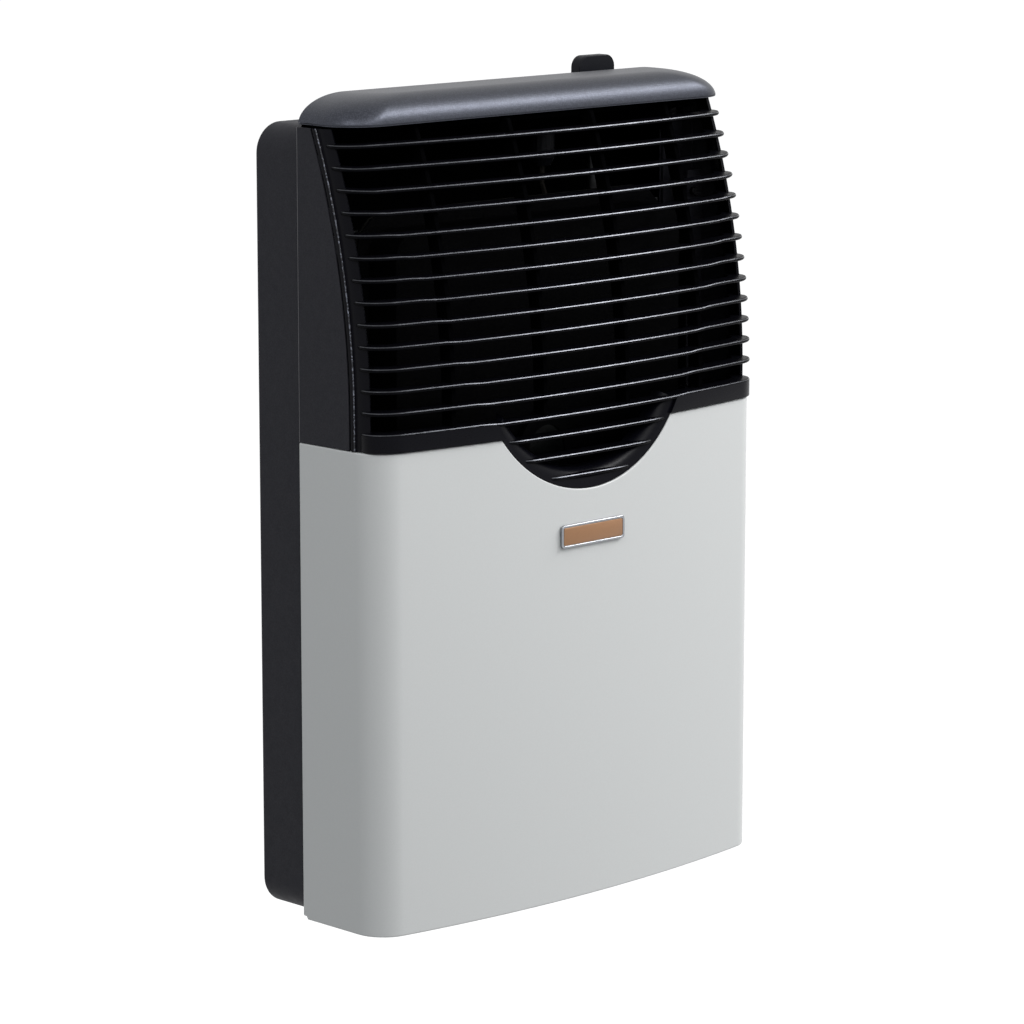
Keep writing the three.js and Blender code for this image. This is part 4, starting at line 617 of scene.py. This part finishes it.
def scoop_fin(height):
    """A short fin between the two sides of the scoop."""
    reach = math.sqrt((SCOOP_RADIUS - SEAM - WALL / 2) ** 2 - (SCOOP_CENTRE - height) ** 2) - 1
    proud = PROUD / 2
    rings = []
    for x in between(-reach, reach, 40):
        drawn = proud - 2.4 * max(0.0, (abs(x) - reach + 12) / 12) ** 2
        section = fin_section(proud - FIN_DEPTH, drawn, height)
        rings.append([(*bow_station(x).off(grow), z) for grow, z in section])
    return loft(rings)


short_fins = mesh_of("scoop_louvres", *joined([scoop_fin(LIP_HEIGHT - i * FIN_PITCH)
                                               for i in range(1, SCOOP_FINS + 1)]), sharp=14)
dress(short_fins, "black_satin", "grille", look=LOUVRE)
# Painted highlight on the flat of each short louvre's nose.
mark(short_fins, LOUVRE_PAINTED_HIGHLIGHT, lambda x, y, z: on_flat(BAND_RADIUS * 2, y, z))


def rib_ring(x, z):
    front = bow_station(x).off(PROUD - RIB_SETBACK)[1] + lean(z)
    side = RIB_THICKNESS / 2
    return [(x - side, front, z), (x + side, front, z), (x + side, front + RIB_DEPTH, z),
            (x - side, front + RIB_DEPTH, z)]


rib_levels = between(LIP_HEIGHT, SIDE_TOP, 36)
ribs = mesh_of("ribs", *joined([loft([rib_ring(place * RIB_SPACING, z) for z in rib_levels])
                                for place in (-1.5, -0.5, 0.5, 1.5)]), sharp=35)
soften(ribs, 0.5, 2, 60)
# The ribs get painted shade: a darker copy of the grille's black.
dress(ribs, "black_satin", "grille", look=PAINTED_SHADE_INSIDE)


def top_bar():
    base = SIDE_TOP - FIN_THICKNESS
    grow = PROUD - RIB_SETBACK - RIB_DEPTH + WALL
    rings = []
    for station in front_stations(FADE_START, 8, 48):
        shape = [(grow, base), (grow, SIDE_TOP), (grow - WALL, SIDE_TOP), (grow - WALL, base)]
        rings.append([(x, y + lean(base), z) for (x, y), z in ((station.off(g), z) for g, z in shape)])
    return loft(rings)


bar = mesh_of("grille_top_bar", *top_bar())
# The top bar gets painted shade.
dress(bar, "black_satin", "grille", look=PAINTED_SHADE_INSIDE)

# ---------------------------------------------------------------- top cover


def cover_ring(angle, inset, z):
    """One level of the cover: its straight lip below, drawn in as the nose and the ends roll."""
    roll = 1 - math.cos(angle)
    side = COVER_HALF - COVER_END * roll - inset
    front = COVER_NOSE * roll + inset - COVER_FRONT
    corner = COVER_CORNER - inset
    rear = -PANEL_REAR - inset
    left = arc(corner - side, front + corner, corner, 180, 270, 16)
    right = arc(side - corner, front + corner, corner, 270, 360, 16)
    middle = [(x, front) for x in between(corner - side, side - corner, 12)[1:-1]]
    return [(x, y, z) for x, y in ((-side, rear), *left, *middle, *right, (side, rear))]


def cover_rings(inset, steps=24):
    rise = COVER_HEIGHT - inset
    angles = [math.pi / 2 * i / steps for i in range(steps + 1)]
    return [cover_ring(a, inset, COVER_BASE + rise * math.sin(a)) for a in angles]


outside = cover_rings(0)
bead = ((0.6, 0), (0.2, 0.1), (0.05, 0.4), (0.05, 0.9), (0.75, 1.05), (0.75, 1.75))
rounded_lip = [cover_ring(0, inset, COVER_BASE + rise) for inset, rise in bead]
outside[0] = cover_ring(0, 0, COVER_BASE + 1.9)
inside = [cover_ring(0, COVER_WALL, COVER_BASE), *cover_rings(COVER_WALL)[1:]]
cover = mesh_of("cover_shell", *loft([*reversed(inside), *rounded_lip, *outside]), sharp=50)
dress(cover, "satin_cover", "top_cover")

# ---------------------------------------------------------------- back box


def box_ring(inset, depth):
    radius = max(BOX_CORNER - inset, 2)
    outline = rounded(inset - BOX_WIDTH / 2, BOX_WIDTH / 2 - inset, inset, BOX_HEIGHT - inset, radius, 14)
    return [(x, -depth, z) for x, z in outline]


THROUGH = (SHEET, -2 * SHEET)  # past both faces of the wall plate


def plate_bore(radius, x, z, sides):
    """A round cutter through the plate on the wall."""
    circle = arc(x, z, radius, 0, 360, sides)[:-1]
    return loft([[(cx, y, cz) for cx, cz in circle] for y in THROUGH])


def upright_bore(radius, x, low, high, sides):
    """A round cutter through the box's top or bottom, in line with the controls."""
    circle = arc(x, -CONTROL_DEPTH, radius, 0, 360, sides)[:-1]
    return loft([[(cx, cy, z) for cx, cy in circle] for z in (low, high)])


def keyhole(side):
    x = side * FIX_X
    outline = [*arc(x, KEYHOLE_HEIGHT, KEYHOLE_RADIUS, 120, 420, 30),
               *arc(x, KEYHOLE_HEIGHT + KEYSLOT_RISE, KEYSLOT_RADIUS, 0, 180, 14)]
    return loft([[(px, y, pz) for px, pz in outline] for y in THROUGH])


def inside_box(x, z):
    """How far a point lies inside the box's outline."""
    past_x = abs(x) - BOX_WIDTH / 2 + BOX_CORNER
    past_z = abs(z - BOX_HEIGHT / 2) - BOX_HEIGHT / 2 + BOX_CORNER
    if past_x > 0 and past_z > 0:
        return BOX_CORNER - math.hypot(past_x, past_z)
    return BOX_CORNER - max(past_x, past_z)


turn = [(BOX_FOLD * (1 - math.sin(a)), BOX_FOLD * (1 - math.cos(a)))
        for a in (math.radians(d) for d in between(0, 90, 5))]
box_rings = [box_ring(inset, depth) for inset, depth in turn]
box_rings += [box_ring(0, BOX_FOLD + 0.5), box_ring(0, BOX_DEPTH - BOX_FOLD - 0.5)]
box_rings += [box_ring(inset, BOX_DEPTH - depth) for inset, depth in reversed(turn)]
box_rings += [box_ring(BOX_FLANGE, BOX_DEPTH), box_ring(BOX_FLANGE, BOX_DEPTH - SHEET),
              box_ring(SHEET, BOX_DEPTH - SHEET), box_ring(SHEET, SHEET)]
shell = mesh_of("wall_box", *loft(box_rings))
flue_low, flue_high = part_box("flue_pipe")
FLUE_HEIGHT = (flue_low.z + flue_high.z) / 2 * 1000 + BOX_HEIGHT / 2
carve(shell, [
    keyhole(-1), keyhole(1),
    plate_bore(FIX_HOLE, -FIX_X, FIX_FOOT, 32), plate_bore(FIX_HOLE, FIX_X, FIX_FOOT, 32),
    plate_bore(FLUE_HOLE, 0, FLUE_HEIGHT, 96),
    upright_bore(ROD_HOLE, KNOB_X, BOX_HEIGHT - 2 * SHEET, BOX_HEIGHT + SHEET, 32),
    upright_bore(IGNITER_HOLE, IGNITER_X, BOX_HEIGHT - 2 * SHEET, BOX_HEIGHT + SHEET, 32),
    upright_bore(INLET_HOLE, KNOB_X, -SHEET, 2 * SHEET, 48),
])
dress(shell, "charcoal_enamel", "back_box", "back_plate")
# Painted highlight on the box's side folds next to the wall.
mark(shell, FOLD_PAINTED_HIGHLIGHT, lambda x, y, z: abs(x) > BOX_WIDTH / 2 - 0.9 and -1.4 < y < -0.3)
# Painted shade on the box's inner faces.
mark(shell, PAINTED_SHADE_INSIDE,
     lambda x, y, z: inside_box(x, z) > SHEET / 2 and 0.2 - BOX_DEPTH < y < -SHEET / 2)

# ---------------------------------------------------------------- name plate, bare


def plate_ring(inset, depth):
    outline = rounded(inset - PLATE_WIDTH / 2, PLATE_WIDTH / 2 - inset,
                      PLATE_CENTRE - PLATE_HEIGHT / 2 + inset, PLATE_CENTRE + PLATE_HEIGHT / 2 - inset,
                      PLATE_CORNER - inset / 2, 8)
    return [(x, -DEPTH - depth, z) for x, z in outline]


top = PLATE_SEAT + PLATE_DEPTH
rim_steps = between(0, 180, 8)
rim_half = PLATE_RIM / 2
crest = [(rim_half - rim_half * math.cos(math.radians(d)), top - 0.7 + 0.7 * math.sin(math.radians(d)))
         for d in rim_steps]
bezel_rings = [plate_ring(0.2, PLATE_SEAT), plate_ring(0, PLATE_SEAT + 0.3)]
bezel_rings += [plate_ring(inset, depth) for inset, depth in crest]
bezel_rings += [plate_ring(PLATE_RIM, top - 0.9)]
bezel = mesh_of("plate_bezel", *loft(bezel_rings), sharp=50)
dress(bezel, "plate_chrome", "name_plate_bezel")

face_rings = [plate_ring(PLATE_RIM + 0.3, top - 0.88), plate_ring(PLATE_RIM + 0.3, top - 0.45),
              plate_ring(PLATE_RIM + 0.5, top - 0.3)]
face = mesh_of("plate_face", *loft(face_rings), sharp=50)
dress(face, "plate_copper", "name_plate_face")

# ---------------------------------------------------------------- knob and igniter

PADDLE_BASE = KNOB_TOP - KNOB_PADDLE


def paddle():
    x0, x1 = KNOB_X - KNOB_WIDTH / 2, KNOB_X + KNOB_WIDTH / 2
    shoulder = KNOB_TOP - KNOB_CORNER
    outline = [(x0, PADDLE_BASE), (x1, PADDLE_BASE),
               *arc(x1 - KNOB_CORNER, shoulder, KNOB_CORNER, 0, 90, 14),
               *arc(x0 + KNOB_CORNER, shoulder, KNOB_CORNER, 90, 180, 14)]
    y0, y1 = -CONTROL_DEPTH + KNOB_THICKNESS / 2, -CONTROL_DEPTH - KNOB_THICKNESS / 2
    return loft([[(x, y, z) for x, z in outline] for y in (y0, y1)])


grip = mesh_of("knob_paddle", *paddle())
soften(grip, 0.9, 3, 50)
dress(grip, "black_plastic", "control_knob", body="knob")

HUB_EDGE = 2  # rounding of the hub's top
hub_profile = [(ROD_HOLE, HUB_BASE), (KNOB_HUB - 0.4, HUB_BASE), (KNOB_HUB, HUB_BASE + 0.4),
               (KNOB_HUB, PADDLE_BASE - HUB_EDGE),
               *arc(KNOB_HUB - HUB_EDGE, PADDLE_BASE - HUB_EDGE, HUB_EDGE, 15, 90, 6),
               (ROD_HOLE, PADDLE_BASE)]
hub = mesh_of("knob_hub", *lathe(hub_profile, KNOB_X, -CONTROL_DEPTH))
dress(hub, "black_plastic", "control_knob", body="knob")

BEZEL_EDGE = 1.1
bezel_shoulder = BEZEL_BASE + BEZEL_HEIGHT - BEZEL_EDGE
collar_profile = [(ROD_HOLE, BEZEL_BASE), (BEZEL_RADIUS, BEZEL_BASE), (BEZEL_RADIUS, bezel_shoulder),
                  *arc(BEZEL_RADIUS - BEZEL_EDGE, bezel_shoulder, BEZEL_EDGE, 15, 90, 6),
                  (ROD_HOLE, BEZEL_BASE + BEZEL_HEIGHT)]
collar = mesh_of("knob_surround", *lathe(collar_profile, KNOB_X, -CONTROL_DEPTH))
dress(collar, "black_plastic", "knob_bezel")

button_top = BUTTON_BASE + BUTTON_HEAD
button_profile = [(STALK_RADIUS, BUTTON_BASE - STALK_DROP), (STALK_RADIUS, BUTTON_BASE),
                  (BUTTON_RADIUS, BUTTON_BASE), (BUTTON_RADIUS, button_top - 2),
                  (BUTTON_RADIUS - 0.5, button_top - 0.9),
                  (BUTTON_RADIUS - 1.6, button_top - 0.3), (BUTTON_RADIUS - 3.4, button_top - 0.05),
                  (1, button_top)]
button = mesh_of("spark_button", *lathe(button_profile, IGNITER_X, -CONTROL_DEPTH))
dress(button, "red_plastic", "igniter_button", body="button")

# ---------------------------------------------------------------- return spring under the knob

SPRING_RADIUS, SPRING_WIRE, SPRING_TURNS = 6, 1.4, 5
spring_low, spring_high = (1000 * corner.z + BOX_HEIGHT / 2 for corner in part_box("press_spring"))


def spring_ring(turned):
    """Section of the spring's wire after a number of turns."""
    a = 2 * math.pi * turned
    height = spring_low + SPRING_WIRE / 2
    height += (spring_high - spring_low - SPRING_WIRE) * turned / SPRING_TURNS
    wire = arc(0, 0, SPRING_WIRE / 2, 0, 360, 12)[:-1]
    section = [(SPRING_RADIUS + out, height + up) for out, up in wire]
    return [(KNOB_X + radius * math.cos(a), radius * math.sin(a) - CONTROL_DEPTH, z)
            for radius, z in section]


spring_steps = between(0, SPRING_TURNS, SPRING_TURNS * 24)
spring = mesh_of("return_spring", *loft([spring_ring(t) for t in spring_steps]), sharp=50)
dress(spring, slot_of["press_spring"], "press_spring")
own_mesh(spring)

# ---------------------------------------------------------------- floor, light and camera


FLOOR_TONE, FLOOR_WHITE, FLOOR_GLOW = 0.3, 0.2, 0.95
AMBIENT = 0.42
LENS, SENSOR = 149.15, 36


def white_rays(nodes, links):
    """1 for the rays of the camera, of gloss and of glass, 0 for all others."""
    path = nodes.new("ShaderNodeLightPath")
    total = path.outputs["Is Camera Ray"]
    for kind in ("Is Glossy Ray", "Is Transmission Ray"):
        either = nodes.new("ShaderNodeMath")
        either.operation = "MAXIMUM"
        links.new(total, either.inputs[0])
        links.new(path.outputs[kind], either.inputs[1])
        total = either.outputs[0]
    return total


def stage_material(name):
    """Floor finish: a diffuse tone that keeps shadows, brighter for the camera and in gloss."""
    material = bpy.data.materials.new(name)
    material.use_nodes = True
    nodes, links = material.node_tree.nodes, material.node_tree.links
    nodes.clear()
    plain = nodes.new("ShaderNodeBsdfDiffuse")
    plain.inputs["Color"].default_value = (FLOOR_TONE, FLOOR_TONE, FLOOR_TONE, 1)
    white = nodes.new("ShaderNodeBsdfDiffuse")
    white.inputs["Color"].default_value = (FLOOR_WHITE, FLOOR_WHITE, FLOOR_WHITE, 1)
    light = nodes.new("ShaderNodeEmission")
    light.inputs["Strength"].default_value = FLOOR_GLOW
    total = nodes.new("ShaderNodeAddShader")
    links.new(white.outputs[0], total.inputs[0])
    links.new(light.outputs[0], total.inputs[1])
    mix = nodes.new("ShaderNodeMixShader")
    links.new(white_rays(nodes, links), mix.inputs[0])
    links.new(plain.outputs[0], mix.inputs[1])
    links.new(total.outputs[0], mix.inputs[2])
    out = nodes.new("ShaderNodeOutputMaterial")
    links.new(mix.outputs[0], out.inputs["Surface"])
    return material


FLOOR_DROP = 0.36  # metres below the cabinet: it hangs on a wall
floor_z = -BOX_HEIGHT / 2000 - FLOOR_DROP
floor_mesh = bpy.data.meshes.new("floor")
floor_mesh.from_pydata([(-40, -40, floor_z), (40, -40, floor_z), (40, 40, floor_z), (-40, 40, floor_z)],
                       [], [(0, 1, 2, 3)])
floor = bpy.data.objects.new("floor", floor_mesh)
floor_mesh.materials.append(stage_material("floor_pale"))
bpy.context.scene.collection.objects.link(floor)

world = bpy.data.worlds.new("studio")
bpy.context.scene.world = world
world.use_nodes = True
wn, wl = world.node_tree.nodes, world.node_tree.links
wn.clear()
ambient = wn.new("ShaderNodeBackground")
ambient.inputs["Color"].default_value = (0.93, 0.97, 1.0, 1)
ambient.inputs["Strength"].default_value = AMBIENT
white_back = wn.new("ShaderNodeBackground")
white_back.inputs["Strength"].default_value = 1.0
white_back.inputs["Color"].default_value = (1, 1, 1, 1)
blend = wn.new("ShaderNodeMixShader")
wl.new(white_rays(wn, wl), blend.inputs[0])
wl.new(ambient.outputs[0], blend.inputs[1])
wl.new(white_back.outputs[0], blend.inputs[2])
world_out = wn.new("ShaderNodeOutputWorld")
wl.new(blend.outputs[0], world_out.inputs["Surface"])


def lamp(name, place, size, power, target=(0, -0.08, 0), tint=(1, 1, 1)):
    data = bpy.data.lights.new(name, "AREA")
    data.shape = "RECTANGLE"
    data.size, data.size_y = size
    data.energy = power
    data.color = tint
    obj = bpy.data.objects.new(name, data)
    obj.location = place
    way = Vector(target) - Vector(place)
    obj.rotation_mode = "QUATERNION"
    obj.rotation_quaternion = way.to_track_quat("-Z", "Y")
    bpy.context.scene.collection.objects.link(obj)


lamp("key", (0, -2.6, 1.7), (2.4, 1.2), 24)
lamp("strip", (1.78, -1.34, 1.82), (2.0, 0.4), 56, target=(0, -0.12, 0.2))
lamp("fill", (-0.8, -0.55, 0.8), (0.5, 0.4), 2.2)

AZIMUTH, ELEVATION, DISTANCE = -44.265, 10.614, 3.2581
TARGET = Vector((0.0618, 0, -0.0272))
a, e = math.radians(AZIMUTH), math.radians(ELEVATION)
back = Vector((math.sin(a) * math.cos(e), -math.cos(a) * math.cos(e), math.sin(e)))
camera_data = bpy.data.cameras.new("camera")
camera_data.lens = LENS
camera_data.sensor_width = SENSOR
camera = bpy.data.objects.new("camera", camera_data)
camera.location = TARGET + back * DISTANCE
camera.rotation_mode = "QUATERNION"
camera.rotation_quaternion = (-back).to_track_quat("-Z", "Y")
bpy.context.scene.collection.objects.link(camera)
bpy.context.scene.camera = camera

bpy.context.scene.view_settings.view_transform = "Standard"
